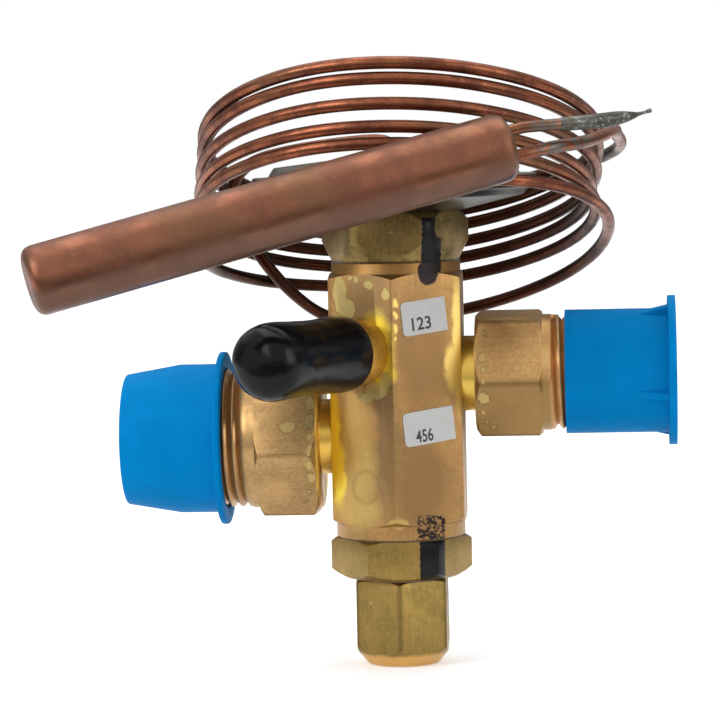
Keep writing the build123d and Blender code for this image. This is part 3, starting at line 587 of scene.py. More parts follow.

# %% The connections' brass: gold near the neck, redder threads, drops along the bevel, and painted shade below and along the corners
inlet_drops = at_places(
    1.0, 0.5, 0.35,
    ((17.0, -11.0, 66.9), (0.7, 4, 0.5)), ((17.3, -11.0, 64.6), (0.45, 4, 0.6)),
    ((16.9, -11.0, 62.6), (0.4, 4, 0.4)), ((16.9, -11.0, 60.0), (0.75, 4, 0.9)),
    ((17.0, -11.0, 57.8), (0.5, 4, 0.5)), ((17.1, -11.0, 55.6), (0.35, 4, 0.6)),
    ((17.0, -11.0, 52.2), (1.1, 4, 1.2)), ((16.9, -11.0, 49.2), (0.4, 4, 0.5)),
    ((17.4, -11.0, 47.2), (0.9, 4, 0.9)), ((18.6, -10.3, 46.2), (1.0, 4, 0.8)),
)
outlet_drops = at_places(
    1.0, 0.5, 0.35,
    ((-16.2, -13.4, 52.0), (1.0, 4, 1.4)), ((-16.3, -13.8, 48.6), (0.8, 4, 1.3)),
    ((-16.3, -13.8, 45.6), (0.6, 4, 0.7)), ((-16.2, -13.8, 43.0), (0.7, 4, 1.3)),
    ((-16.5, -13.8, 40.2), (0.6, 4, 1.0)), ((-16.3, -13.8, 37.4), (0.8, 4, 1.2)),
    ((-17.0, -13.4, 34.6), (0.9, 4, 0.7)), ((-18.0, -12.5, 32.4), (1.3, 4, 0.8)),
    ((-20.5, -13.8, 47.5), (1.6, 4, 1.0)),
)
near_neck = stepped(0, 16.2, 15.4, 1.5)
threads = stepped(0, 29.4, 30.2)
inlet_brass = brass(
    "inlet_brass", (0.42, 0.24, 0.085), (0.58, 0.33, 0.12), (0.70, 0.44, 0.18), lines=(0.06, 1, 1),
    stains_and_shade=[
        # The first mask darkens the connection below its axis: painted shade on its underside.
        (stepped(2, 56.6, 54.6), (0.23, 0.135, 0.045), 0.75), (near_neck, (0.75, 0.50, 0.09), 0.85),
        (crazed_film, (0.22, 0.125, 0.045), 0.3),
        # painted shade along the hexagon's corners
        (corner_shade(13.05, inlet_height), (0.16, 0.09, 0.03), 0.6),
        (threads, (0.60, 0.31, 0.13), 0.6), (inlet_drops, (0.60, 0.43, 0.16), 0.7, 0.5),
    ], drop_share=0.2,
)[0]
outlet_brass = brass(
    "outlet_brass", (0.30, 0.18, 0.07), (0.44, 0.26, 0.10), (0.60, 0.39, 0.17), lines=(0.06, 1, 1),
    stains_and_shade=[
        (near_neck, (0.75, 0.47, 0.07), 0.85), (threads, (0.40, 0.21, 0.09), 0.6),
        # painted shade along the hexagon's corners
        (corner_shade(15.93, outlet_height), (0.20, 0.115, 0.04), 0.5),
        (outlet_drops, (0.56, 0.43, 0.16), 0.65, 0.4),
    ], drop_share=0.25,
)[0]
equalizer_brass = brass(
    "equalizer_brass", (0.40, 0.20, 0.03), (0.55, 0.29, 0.04), (0.62, 0.38, 0.08), drop_share=0.1
)[0]
print("connections' brass made")

# %% The brass of the nuts, the seal cap and the inner pieces
nut_parts = brass(
    "nut_brass", (0.21, 0.135, 0.034), (0.30, 0.19, 0.044), (0.40, 0.26, 0.072), drop_share=0.05
)
cap_brass = brass(
    "cap_brass", (0.18, 0.12, 0.03), (0.26, 0.165, 0.04), (0.36, 0.235, 0.065), drop_share=0.03,
    stains_and_shade=[
        # the first mask is painted shade along the hexagon's corners
        (corner_shade(10.08), (0.11, 0.07, 0.02), 0.6), (stepped(2, 3.2, 2.2, 2.0), (0.70, 0.42, 0.13), 0.9),
    ],
)[0]
inner_brass = brass(
    "inner_brass", (0.42, 0.28, 0.09), (0.55, 0.38, 0.13), (0.62, 0.45, 0.18), drop_share=0.0
)[0]
element_parts = brass(
    "element_brass", (0.15, 0.095, 0.03), (0.22, 0.14, 0.042), (0.34, 0.24, 0.08), drop_share=0.1,
    stains_and_shade=[(smudges, (0.075, 0.05, 0.02), 0.7), (stepped(2, 79.0, 78.6), (0.05, 0.03, 0.012), 0.85)],
)
print("other brass made")

# %% [markdown]
# The pen strokes lie over two or three pieces at once. Each finish gets the same mask, read from the
# same coordinates, so that the stroke runs on from piece to piece.

# %% Pen strokes
ink = (0.012, 0.010, 0.012)


def stroke(tree, place, side_low, side_high, low, high, ragged):
    """A pen stroke up the front of the valve, between two sides and two heights."""
    rough_place = wobbled(tree, place, 0.9, ragged)
    side = along(tree, rough_place, (0.9969, 0.0785, 0))
    height = parts_of(tree, rough_place)[2]
    mask = between(tree, along(tree, place, (0, -1, 0)), 0.0, 1.0)
    for value, start, end in ((side, side_low, side_high), (height, low, high)):
        mask = times(tree, mask, between(tree, value, start - 0.15, start + 0.15))
        mask = times(tree, mask, between(tree, value, end - 0.15, end + 0.15, 1.0, 0.0))
    return mask


element_brass, tree, shader, place = element_parts
narrow_end = stroke(tree, place, 5.0, 7.6, 82.5, 87.0, 0.5)
painted(tree, shader, either(tree, narrow_end, stroke(tree, place, 4.8, 8.6, 78, 83.2, 0.45)), ink, 0.3)

body_brass, tree, shader, place = body_parts
rounded_end = spot(tree, wobbled(tree, place, 0.9, 0.3), (6.85, -10.6, 76.6), (2.0, 3, 2.6), 0.08)
upper_ink = either(tree, rounded_end, stroke(tree, place, 4.8, 8.6, 76.4, 79, 0.3))
unscratched = between(tree, noise(tree, place_in_mm(tree, (0.5, 1, 1)), 0.7, 5, 0.7), 0.44, 0.5)
lower_ink = times(tree, stroke(tree, place, 2.9, 8.3, 25.0, 29.8, 0.9), unscratched)
painted(tree, shader, either(tree, upper_ink, lower_ink), (0.02, 0.013, 0.012), 0.35)

nut_brass, tree, shader, place = nut_parts
painted(tree, shader, stroke(tree, place, 3.3, 8.2, 16, 25.1, 0.25), ink, 0.22, 0.4)
print("pen strokes drawn")

# %% [markdown]
# ## Copper, steel, plastic and paper
#
# Copper tube browns in the flame. Its colour varies slowly along the tube, with darker patches and
# a few bright scuffs. Pressed steel is a dull grey; the lower shell gets a much darker copy of it as
# painted shade, since it faces down into shadow. The caps are plain moulded plastic.

# %% Other finishes
def copper(name, dark, middle, light, roughness=0.34, scuff_share=0.45, olive_share=0.35):
    """Browned copper with slow patches, fine scuffs and a few olive stretches."""
    material, tree, shader = new_finish(name, roughness, 0.85)
    place = place_in_mm(tree)
    patches = between(tree, noise(tree, place, 7, 4, 0.6), 0.35, 0.68)
    scuffs = between(tree, noise(tree, place, 0.9, 5, 0.65), 0.5, 0.85)
    olive = between(tree, noise(tree, place, 16, 2, 0.5), 0.5, 0.64)
    color = blended(tree, patches, dark, middle)
    color = blended(tree, times(tree, scuffs, scuff_share), color, light)
    color = blended(tree, times(tree, olive, olive_share), color, (0.16, 0.095, 0.045))
    feed(tree, color, shader.inputs["Base Color"])
    feed(tree, between(tree, patches, 0, 1, roughness + 0.12, roughness - 0.05), shader.inputs["Roughness"])
    bumped(tree, shader, noise(tree, place, 0.5, 4, 0.6), 0.2, 0.04)
    return material, tree, shader, place


def plain(name, color, roughness, metallic=0.0, grain=2.0, depth=0.12, bump=0.03, specular=0.5):
    """A plain finish with a faint cloudiness."""
    material, tree, shader = new_finish(name, roughness, metallic, specular)
    place = place_in_mm(tree)
    clouds = between(tree, noise(tree, place, grain, 4, 0.55), 0.3, 0.7)
    darker, lighter = [tuple(part * share for part in color) for share in (1 - depth, 1 + depth)]
    feed(tree, blended(tree, clouds, darker, lighter), shader.inputs["Base Color"])
    bumped(tree, shader, noise(tree, place, grain / 4, 3, 0.5), 0.2, bump)
    return material


# The far side of the coil lies behind the valve in shadow, so it is painted almost black as painted
# shade, with its reflection turned down too, and a film of flux lies beside the bulb.
tube_copper, tree, shader, place = copper(
    "tube_copper", (0.11, 0.034, 0.018), (0.26, 0.082, 0.038), (0.52, 0.22, 0.10), 0.3
)
far_side = sums(tree, "ADD", parts_of(tree, place)[1], times(tree, noise(tree, place, 9.0), 8.0))
far_shade = times(tree, between(tree, far_side, -2.0, 16.0), 0.85)
# painted shade on the coil's far side, and a weaker reflection there
tinted(tree, shader, far_shade, (0.018, 0.006, 0.003))
feed(tree, between(tree, far_shade, 0.0, 0.85, 0.5, 0.1), shader.inputs["Specular IOR Level"])
brazed_end = spot(tree, wobbled(tree, place, 2.0, 1.2), (36.0, -36.0, 104.0), (9.0, 9.0, 9.0), 0.35)
film = times(tree, brazed_end, between(tree, noise(tree, place, 1.6, 4, 0.6), 0.42, 0.55))
tinted(tree, shader, film, (0.10, 0.085, 0.07))
tinned_copper = copper(
    "tinned_copper", (0.045, 0.045, 0.038), (0.12, 0.12, 0.105), (0.55, 0.57, 0.52), 0.38, 0.8, 0.1
)[0]

# The bulb's upper side is a warmer brown. Its lower side is painted darker and duller: partly painted
# shade for the darker reflection below its middle, partly a dull film.
bulb_copper, tree, shader, place = copper(
    "bulb_copper", (0.165, 0.064, 0.037), (0.24, 0.092, 0.05), (0.34, 0.16, 0.095)
)
lift = sums(tree, "SUBTRACT", along(tree, place, (-0.2237, -0.0665, 0.9724)), 94.0)
lift = sums(tree, "ADD", lift, times(tree, noise(tree, place, 5.0), 1.6))
# painted shade, with a dull film, on the bulb's lower side
tinted(tree, shader, times(tree, between(tree, lift, 0.4, -1.4), 0.85), (0.115, 0.06, 0.042))
near_end = between(tree, along(tree, place, (0.9296, 0.2762, 0.2441)), 37.0, 40.0)
tinted(tree, shader, times(tree, near_end, 0.3), (0.24, 0.05, 0.045))

# The lower shell's copy of the steel is far darker than the upper shell's: painted shade on the underside.
shaded_lower_steel = plain("shaded_lower_steel", (0.045, 0.04, 0.03), 0.34, 0.9, specular=0.2)
upper_steel = plain("upper_steel", (0.13, 0.125, 0.105), 0.34, 0.9, specular=0.2)
hard_steel = plain("hard_steel", (0.55, 0.55, 0.55), 0.28, 1.0)
strainer_steel = plain("strainer_steel", (0.5, 0.5, 0.48), 0.35, 1.0)
blue_plastic = plain("blue_plastic", (0.0, 0.188, 0.485), 0.5, 0.0, 6.0, 0.05, specular=0.02)
black_vinyl = plain("black_vinyl", (0.0025, 0.003, 0.004), 0.2, 0.0, 5.0, 0.2, 0.05, specular=0.16)
gasket_fibre = plain("gasket_fibre", (0.55, 0.53, 0.48), 0.7)
dark_gasket = plain("dark_gasket", (0.11, 0.065, 0.025), 0.6)
white_packing = plain("white_packing", (0.75, 0.75, 0.72), 0.5)
label_paper = plain("label_paper", (0.50, 0.50, 0.49), 0.45, 0.0, 3.0, 0.03)
number_ink = plain("number_ink", (0.012, 0.012, 0.013), 0.4, 0.0, 1.0, 0.2)
print("other finishes made")

# %% [markdown]
# ## Body, nuts and pressed shells
#
# The body is a length of hexagon bar, turned round at both ends and bored for the moving pieces. Its
# bores matter when the caps are off, so each of these pieces starts as a copy of its construction
# node: the loose triangles are merged, flat faces are made whole again, and a bevel rounds the edges.
# The element nut's corners were tumbled quite round, so it gets the widest bevel.

# %% Body, nuts and pressed shells
def softened_copy(name, node, body, slot, finish, width, segments=2):
    """A soft-edged copy of a construction node that stands for it."""
    piece = cleaned_copy(name, node)
    softened(piece, width, segments)
    settled(piece, body, slot, finish, node)
    return piece


softened_copy("body_bar", "valve_body", "valve", "brass", body_brass, 0.22)
softened_copy("stem_nut", "bottom_nut", "valve", "brass", nut_brass, 0.15)
softened_copy("stem_cap", "seal_cap", "bottom_cap", "brass", cap_brass, 0.25)
softened_copy("head_nut", "element_nut", "valve", "nut_brass", element_brass, 0.6, 3)
softened_copy("equalizer_stub", "equalizer_fitting", "valve", "brass", equalizer_brass, 0.1)
softened_copy("lower_shell", "lower_case", "valve", "case_steel", shaded_lower_steel, 0.3, 3)
softened_copy("upper_shell", "upper_case", "valve", "case_steel", upper_steel, 0.3, 3)
softened_copy("outlet_cover", "outlet_cap", "left_cap", "blue_plastic", blue_plastic, 0.3)

# In the photo one rib of the inlet cap stands low in front, so the cap is turned about its own axis.
rib_turn = 38
inlet_cover = cleaned_copy("inlet_cover", "inlet_cap")
softened(inlet_cover, 0.25)
cap_axis = Matrix.Translation((0, 0, inlet_height * mm))
placed(inlet_cover, cap_axis @ Matrix.Rotation(radians(rib_turn), 4, "X") @ cap_axis.inverted())
settled(inlet_cover, "right_cap", "blue_plastic", blue_plastic, "inlet_cap")

# %% [markdown]
# The superheat spring is squeezed by two pieces that move: the guide below it and the pin carrier
# above it. So it is cut into two halves.

# %% Spring
def half_spring(name, keep_lower):
    """Half of the spring, closed where it is cut."""
    piece = cleaned_copy(name, "superheat_spring")
    heights = [corner.co.z for corner in piece.data.vertices]
    low, high = min(heights), max(heights)
    middle = (low + high) / 2
    open_mesh(piece)
    bpy.ops.mesh.bisect(
        plane_co=(0, 0, middle), plane_no=(0, 0, 1), use_fill=True,
        clear_inner=not keep_lower, clear_outer=keep_lower,
    )
    close_mesh()
    dressed(piece, "hard_steel", hard_steel, "superheat_spring")
    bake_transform(piece)


half_spring("spring_foot", True)
half_spring("spring_head", False)

# %% [markdown]
# ## Threads
#
# Both flare connections show a stretch of thread between the hexagon and the blue cap. A thread is
# cut on a lathe by a pointed tool that travels along the turning bar, so the same is done here: a
# small triangle is swept along a helix by a screw modifier, its two ends are closed, and the coil
# is taken away from the smooth connection.

# %% Cut the threads
def thread_tool(radius, start, end):
    """The coil of waste that a pointed tool takes off, along +Z, in millimetres."""
    half_width = 0.45 * thread_pitch
    inward = (thread_depth + 0.1) / 1.5
    start_fresh()
    bpy.ops.mesh.primitive_circle_add(
        vertices=3, radius=1 * mm, fill_type="NGON", rotation=(pi / 2, -pi / 2, 0)
    )
    tool = bpy.context.object
    write_place()
    open_mesh(tool)
    bpy.ops.transform.resize(value=(inward, 1, half_width / (sqrt(3) / 2)), center_override=(0, 0, 0))
    bpy.ops.transform.translate(value=((radius - thread_depth + inward) * mm, 0, start * mm))
    close_mesh()
    turns = int((end - start) / thread_pitch)
    applied(
        tool, "SCREW", axis="Z", screw_offset=thread_pitch * mm, iterations=turns, steps=56,
        render_steps=56, use_merge_vertices=False,
    )
    open_mesh(tool)
    bpy.ops.mesh.fill_holes(sides=4)
    bpy.ops.mesh.select_all(action="SELECT")
    bpy.ops.mesh.normals_make_consistent(inside=False)
    close_mesh()
    return tool


def threaded(piece, way, height, radius, start, end):
    """Cut a thread into a connection that points along a direction, between two distances."""
    tool = thread_tool(radius, start, end)
    laid_along(tool, way, (0, 0, height))
    carved(piece, tool)
    smoothed(piece, 30)


outlet_stub = softened_copy("outlet_stub", "outlet_fitting", "valve", "brass", outlet_brass, 0.25)
threaded(outlet_stub, (-1, 0, 0), outlet_height, 13.49, 28.9, 42.9)
inlet_stub = softened_copy("inlet_stub", "inlet_fitting", "valve", "brass", inlet_brass, 0.25)
threaded(inlet_stub, (1, 0, 0), inlet_height, 11.11, 30.2, 44.2)
print("threads cut:", len(outlet_stub.data.polygons), "and", len(inlet_stub.data.polygons), "faces")

# %% [markdown]
# ## The dipped cap
#
# A former is dipped into liquid vinyl, and the skin that stays on it is peeled off as a cap. So its
# tip is smooth and round, its wall sags a little, and nothing on it is quite straight. The cap is
# grown from rings, smoothed by subdivision, and then pushed about by a slow cloud pattern.

# %% Dipped cap
equalizer_way = Vector((cos(radians(left_front)), sin(radians(left_front)), 0))
cap_distance = 18.4
cap_height = 61.6
cap_rings = [
    (0.3, 7.1), (0.6, 7.35), (3.0, 7.4), (6.0, 7.3), (9.5, 7.05), (13.0, 7.0), (16.5, 7.1), (20.0, 7.35),
    (23.0, 7.45), (25.0, 7.25), (26.8, 6.6), (28.1, 5.5), (28.9, 4.1), (29.3, 2.6), (29.4, 1.0),
]
dipped_cap = grown("dipped_cap", cap_rings, 48)
applied(dipped_cap, "SUBSURF", levels=2, render_levels=2)
lumps = bpy.data.textures.new("lumps", "CLOUDS")
lumps.noise_scale = 9 * mm
applied(dipped_cap, "DISPLACE", texture=lumps, texture_coords="LOCAL", strength=0.5 * mm, mid_level=0.55)
cap_hollow = grown("cap_hollow", [(-1, 5.66), (20, 5.66)], 64)
carved(dipped_cap, cap_hollow)
laid_along(dipped_cap, equalizer_way, equalizer_way * cap_distance + Vector((0, 0, cap_height)))
smoothed(dipped_cap, 45)
settled(dipped_cap, "front_cap", "black_vinyl", black_vinyl, "equalizer_cap")

# %% [markdown]
# ## The bulb
#
# The bulb is a piece of copper tube, closed at both ends in a spinning die, which leaves the left
# end flat with a rounded rim and the right end like a shoulder. Two small tubes are brazed into the
# right end, one for the capillary and one for charging the bulb with gas.

# %% Bulb
bulb_start = Vector((-60.67, -64.5, dome_top - 20.7))
bulb_axis = Vector((82.63, 24.55, 21.7)).normalized()
bulb_up = (Vector((0, 0, 1)) - bulb_axis * bulb_axis.z).normalized()
charge_lift = 2.6
capillary_drop = 2.2
tube_in_bulb = 1.9
bulb_rings = [
    (0, 3.6), (0.05, 4.5), (0.3, 5.25), (0.75, 5.85), (1.35, 6.2), (2.1, 6.34), (3.2, 6.35), (30, 6.35),
    (60, 6.35), (88.0, 6.35), (89.0, 6.28), (89.8, 6.05), (90.4, 5.65), (90.8, 5.1), (bulb_length, 4.4),
]
bulb = grown("bulb", bulb_rings, 96)
for lift, radius in ((charge_lift, 1.33), (-capillary_drop, 1.23)):
    hole = grown("tube_hole", [(bulb_length - 2, radius), (bulb_length + 1, radius)], 32)
    placed(hole, Matrix.Translation((lift * mm, 0, 0)))
    carved(bulb, hole)
laid_along(bulb, bulb_axis, bulb_start)
smoothed(bulb, 40)
settled(bulb, "valve", "copper", bulb_copper, "sensing_bulb")

# %% [markdown]
# ## The capillary
#
# A thin drawn tube is wound by hand, so no turn is quite like the next: the turns differ in height
# and reach, spread on the left and pinch together on the right. The route has a few points for
# each turn, worked out as in the construction model. A smooth NURBS curve follows them, a round
# bevel makes it a tube, and it then becomes a mesh.

# %% Capillary
points_per_turn = 10
back_angle = -10
front_depths = [35.2, 36.4, 36.4, 36.4, 36.4, 36.4]
right_reach = [40.6, 38.2, 37.3, 38.3, 38.7, 38.9]
left_reach = [38.6, 38.6, 38.3, 38.0, 37.6, 37.4]
front_heights = [-4.5, 2.4, 5.5, 9.7, 14.3, 17.1]
back_heights = [-34.4, -26.8, -23.1, -19.9, -16.4, -13.4, -10.4]
front_angles = [160, 188, 188, 188, 188, 188]
back_depth = 36.4
coil_offset = 0.8
corner_reach = 1 / cos(pi / points_per_turn)
lead_places = [
    (-1.9, 0.4, 3.0), (-9.0, 2.2, 2.6), (-19.0, 4.4, 1.4), (-28.0, 6.5, -0.6), (-32.3, 10.0, -5.5),
    (-31.0, 14.5, -12.5), (-27.0, 19.5, -19.8), (-21.7, 26.0, -27.0), (-14.8, 32.5, -33.0),
]
rising_places = [
    (5, 0, -10.0), (20, 0, -8.4), (35, 0.4, -6.4), (50, 1.4, -4.2), (65, 2.2, -2.2), (78, 2.6, -0.4),
    (90, 2.6, 1.3),
]
return_places = [(42.4, -9.0, 3.3), (41.8, -17.5, 4.0), (39.4, -25.5, 3.1), (34.5, -32.5, 1.6)]


def seen_place(across, back, height):
    """A point given as seen from the labels' side: to the right, away, and above the dome."""
    turn = radians(camera_heading)
    return Vector((
        across * cos(turn) - back * sin(turn), across * sin(turn) + back * cos(turn), dome_top + height
    ))


def coil_point(turn, angle):
    """A corner of the coil's route; angle 0 is behind the valve, 90 on the right."""
    front = front_heights[turn]
    if angle <= front_angles[turn]:
        back = back_heights[turn]
        phase = (angle - back_angle) / (front_angles[turn] - back_angle)
    else:
        back = back_heights[turn + 1]
        phase = 1 + (angle - front_angles[turn]) / (360 + back_angle - front_angles[turn])
    across = sin(radians(angle)) * corner_reach
    away = cos(radians(angle)) * corner_reach
    reach = right_reach[turn] if across > 0 else left_reach[turn]
    depth = back_depth if away > 0 else front_depths[turn]
    height = (front + back) / 2 - corner_reach * (front - back) / 2 * cos(pi * phase)
    return seen_place(coil_offset + reach * across, depth * away, height)


def rising_point(angle, outwards, height):
    """A corner of the last stretch, which rides above the coil and then leaves it."""
    across = (right_reach[-1] + outwards) * corner_reach * sin(radians(angle))
    away = (back_depth + outwards) * corner_reach * cos(radians(angle))
    return seen_place(coil_offset + across, away, height)


def smooth_tube(name, points, radius, roundness, shares=None):
    """A tube along a smooth curve that follows the points, as a closed mesh."""
    curve = bpy.data.curves.new(name, "CURVE")
    curve.dimensions = "3D"
    curve.bevel_depth = radius * mm
    curve.bevel_resolution = roundness
    curve.use_fill_caps = True
    curve.resolution_u = 12
    spline = curve.splines.new("NURBS")
    spline.points.add(len(points) - 1)
    for number, (corner, place) in enumerate(zip(spline.points, points)):
        corner.co = (*(Vector(place) * mm), 1)
        corner.radius = shares[number] if shares else 1.0
    spline.order_u = 3
    spline.use_endpoint_u = True
    piece = bpy.data.objects.new(name, curve)
    bpy.context.scene.collection.objects.link(piece)
    choose(piece)
    bpy.ops.object.convert(target="MESH")
    piece = bpy.context.object
    open_mesh(piece)
    bpy.ops.mesh.remove_doubles(threshold=0.001 * mm)
    bpy.ops.mesh.normals_make_consistent(inside=False)
    close_mesh()
    smoothed(piece, 40)
    return piece


bulb_end = bulb_start + bulb_axis * bulb_length
capillary_end = bulb_end - bulb_up * capillary_drop
route = [Vector((0, 0, dome_top - 0.87)), Vector((0, 0, dome_top + 1.6))]
route += [seen_place(*place) for place in lead_places]
for turn in range(len(front_heights)):
    for step in range(points_per_turn):
        route.append(coil_point(turn, back_angle + 360 / points_per_turn * step))
route.append(coil_point(len(front_heights) - 1, 360 + back_angle))
route += [rising_point(*place) for place in rising_places]
route += [seen_place(*place) for place in return_places]
route.append(capillary_end + bulb_axis * 6.5)
route.append(capillary_end - bulb_axis * tube_in_bulb)
capillary = smooth_tube("capillary", route, 1.2, 6)
settled(capillary, "valve", "copper", tube_copper, "capillary_tube")

# %% [markdown]
# ## The charge tube
#
# The bulb was charged with gas through a short tube. It was then pinched flat, snipped, and dipped
# in solder, so its outer half is thicker, grey and rough, and ends in a thin tip.

# %% Charge tube
charge_start = bulb_end + bulb_up * charge_lift
charge_bend = charge_start + bulb_axis * 2.5
neck_points = [
    charge_start - bulb_axis * tube_in_bulb, charge_bend,
    seen_place(25.0, -40.5, 4.9), seen_place(30.4, -38.4, 5.15),
]
charge_neck = smooth_tube("charge_neck", neck_points, 1.08, 6)
sleeve_places = [
    (29.6, -38.7, 5.1), (30.2, -38.5, 5.15), (31.5, -38.0, 5.2), (37.6, -35.6, 5.6), (41.2, -33.9, 6.05),
    (43.6, -33.0, 6.4), (45.0, -32.4, 6.7), (46.2, -31.9, 7.0), (47.2, -31.5, 7.3),
]
sleeve_points = [seen_place(*place) for place in sleeve_places]
sleeve_shares = [0.75, 0.95, 1.0, 1.06, 1.0, 0.6, 0.25, 0.22, 0.34]
charge_sleeve = smooth_tube("charge_sleeve", sleeve_points, 1.3, 8, sleeve_shares)
settled(charge_neck, "valve", "copper", tube_copper, "charge_tube")
settled(charge_sleeve, "valve", "tinned_copper", tinned_copper, "charge_tube")

# %% [markdown]
# ## Numbers on the labels
#
# Each sticker carries a plain number. Text is a flat curve, so it becomes a mesh first and is
# scaled to its width and height, then it is turned onto the sticker, which sits a little askew.

# %% Numbers
digit_height = 2.5
digit_thickness = 0.01
sticker_distance = 12.882
sticker_lean = radians(6)
rightwards = Vector((sin(radians(60)), 0.5, 0))
outwards = Vector((0.5, -sin(radians(60)), 0))


def printed(name, digits, across, height, width):
    """Thin digits of this width on the right front flat, half sunk into the sticker's face."""
    start_fresh()
    bpy.ops.object.text_add()
    piece = bpy.context.object
    piece.name = name
    piece.data.body = digits
    piece.data.align_x = "CENTER"
    piece.data.align_y = "CENTER"
    piece.data.extrude = 0.004
    piece.data.offset = 0.02
    bpy.ops.object.convert(target="MESH")
    piece = bpy.context.object
    shares = (width / piece.dimensions.x, digit_height / piece.dimensions.y, digit_thickness / 0.004)
    piece.scale = Vector(shares) * mm
    write_place()
    text_x = rightwards * cos(sticker_lean) + Vector((0, 0, sin(sticker_lean)))
    text_y = Vector((0, 0, cos(sticker_lean))) - rightwards * sin(sticker_lean)
    turn = Matrix((text_x, text_y, outwards)).transposed().to_4x4()
    place = outwards * sticker_distance + rightwards * across + Vector((0, 0, height))
    placed(piece, Matrix.Translation(place * mm) @ turn)
    settled(piece, "valve", "label_paper", number_ink)


printed("upper_number", "123", -1.3, 66.7, 4.1)
printed("lower_number", "456", -0.9, 45.2, 3.7)

# %% [markdown]
# ## The pieces that keep their shape
#
# Gaskets, labels, the capillary's socket and the small inner pieces are right as constructed. They
# only need their finish.

# %% Finishes of the nodes that stay
kept_finishes = (
    (hard_steel, ("valve_pin", "seat_insert", "diaphragm", "push_rod_front", "push_rod_rear")),
    (inner_brass, ("adjusting_stem", "packing_nut", "spring_guide", "pin_carrier", "buffer_plate")),
    (white_packing, ("stem_packing", "rod_seal_front", "rod_seal_rear")),
    (label_paper, ("upper_label", "lower_label")), (gasket_fibre, ("seal_cap_gasket",)),
    (dark_gasket, ("body_gasket",)), (strainer_steel, ("inlet_strainer",)),
    (tube_copper, ("capillary_socket",)),
)
for finish, nodes in kept_finishes:
    for node in nodes:
        frame["nodes"][node].data.materials.clear()
        frame["nodes"][node].data.materials.append(finish)
print(sum(len(nodes) for finish, nodes in kept_finishes), "nodes keep their own shape")

# %% [markdown]
# ## Floor and light
#
# A catalogue photo has a white ground. The floor is pale for every ray, and a little brighter for
# the camera, so that it turns white but still holds the shadow. Large soft lamps give the metal
# its long, calm highlights.

# %% Floor
def seen_directly(tree):
    """One for rays from the camera and for mirrored or refracted ones, so that it lights nothing."""
    path = add(tree, "ShaderNodeLightPath")
    seen = either(tree, path.outputs["Is Camera Ray"], path.outputs["Is Glossy Ray"])
    return either(tree, seen, path.outputs["Is Transmission Ray"])


start_fresh()
bpy.ops.mesh.primitive_plane_add(size=6, location=(0, 0, -0.0002))
floor = bpy.context.object
floor.name = "floor"
floor_finish, floor_tree, floor_shader = new_finish("floor_finish", 0.9)
floor_shader.inputs["Base Color"].default_value = (0.8, 0.8, 0.8, 1)
glow = add(floor_tree, "ShaderNodeEmission")
glow.inputs["Color"].default_value = (1, 1, 1, 1)
feed(floor_tree, times(floor_tree, seen_directly(floor_tree), 0.35), glow.inputs["Strength"])
both = add(floor_tree, "ShaderNodeAddShader")
feed(floor_tree, floor_shader.outputs[0], both.inputs[0])
feed(floor_tree, glow.outputs[0], both.inputs[1])
feed(floor_tree, both.outputs[0], floor_tree.nodes["Material Output"].inputs["Surface"])
floor.data.materials.append(floor_finish)
print("floor made")

# %% [markdown]
# The room is darker on the camera's side and brighter overhead. Only diffuse light sees that. The
# camera and the reflections see plain white, so that metal mirrors a clean studio.

# %% World
world = bpy.data.worlds.new("studio")
bpy.context.scene.world = world
world.use_nodes = True
world_tree = world.node_tree
background = world_tree.nodes["Background"]
direction = add(world_tree, "ShaderNodeTexCoord")
world_parts = parts_of(world_tree, direction.outputs["Generated"])
room = between(world_tree, world_parts[1], -0.9, 0.5, 0.25, 0.8)
overhead = between(world_tree, world_parts[2], 0.0, 0.8, 0.0, 0.35)
lit = sums(world_tree, "ADD", room, overhead)
white_if_seen = blended(world_tree, seen_directly(world_tree), lit, (1, 1, 1))
feed(world_tree, white_if_seen, background.inputs["Color"])
background.inputs["Strength"].default_value = 1.0
print("room made")

# %% [markdown]
# Three soft lamps stand left, right and above. A small one, the window, gives the round pieces their
# short bright highlight.

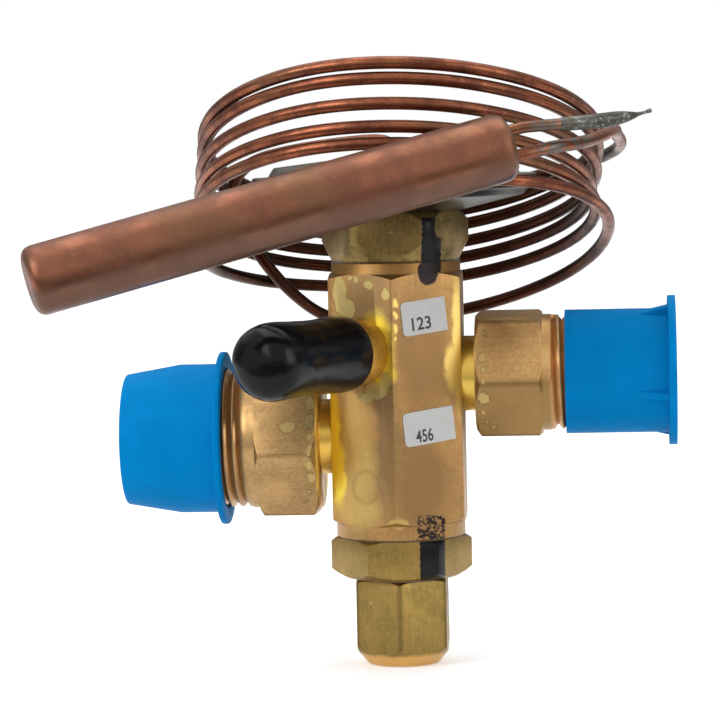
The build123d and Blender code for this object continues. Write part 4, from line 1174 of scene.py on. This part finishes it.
# %% Lamps
def soft_lamp(name, place, aim, size, power):
    """A flat lamp that points at a spot."""
    data = bpy.data.lights.new(name, "AREA")
    data.energy = power
    data.shape = "RECTANGLE"
    data.size, data.size_y = size
    lamp = bpy.data.objects.new(name, data)
    bpy.context.scene.collection.objects.link(lamp)
    lamp.location = place
    lamp.rotation_euler = (Vector(place) - Vector(aim)).to_track_quat("Z", "Y").to_euler()


valve_middle = (0, 0, 0.06)
soft_lamp("left_softbox", (-0.55, -0.6, 0.55), valve_middle, (0.5, 0.5), 3.2)
soft_lamp("right_softbox", (0.75, -0.45, 0.3), valve_middle, (0.4, 0.6), 2.0)
soft_lamp("top_softbox", (0, 0.1, 0.9), valve_middle, (0.9, 0.7), 3.5)
soft_lamp("window", (-0.85, -0.55, 0.42), valve_middle, (0.12, 0.14), 1.6)
print("lamps made")

# %% [markdown]
# Bright metal needs something dark to mirror, or it looks like plaster. A photographer puts up black
# cards outside the picture, and these cards do the same: only reflections see them.

# %% Dark cards
def dark_card(name, place, aim, size, shade):
    """A card that only reflections see; the shade goes from 0 for black to 1 for white."""
    start_fresh()
    bpy.ops.mesh.primitive_plane_add(size=1)
    card = bpy.context.object
    card.name = name
    card.scale = (size[0], size[1], 1)
    card.location = place
    card.rotation_euler = (Vector(aim) - Vector(place)).to_track_quat("Z", "Y").to_euler()
    finish, tree, _ = new_finish(name + "_finish", 1.0)
    tone = add(tree, "ShaderNodeEmission")
    tone.inputs["Color"].default_value = (shade, shade, shade, 1)
    feed(tree, tone.outputs[0], tree.nodes["Material Output"].inputs["Surface"])
    card.data.materials.append(finish)
    for ray in ("camera", "diffuse", "transmission", "volume_scatter", "shadow"):
        setattr(card, "visible_" + ray, False)


dark_card("card_below", (0, -0.45, 0.004), (0, -0.45, 1), (1.6, 0.6), 0.2)
dark_card("card_front", (0, -0.9, 0.07), valve_middle, (1.0, 0.10), 0.1)
dark_card("card_behind", (0, 0.5, 0.05), valve_middle, (1.5, 0.8), 0.4)
dark_card("card_left", (-0.6, 0.1, 0.05), valve_middle, (0.5, 0.6), 0.3)
dark_card("card_right", (0.6, 0.1, 0.05), valve_middle, (0.5, 0.6), 0.3)
print("cards made")

bpy.context.scene.view_settings.view_transform = "Standard"
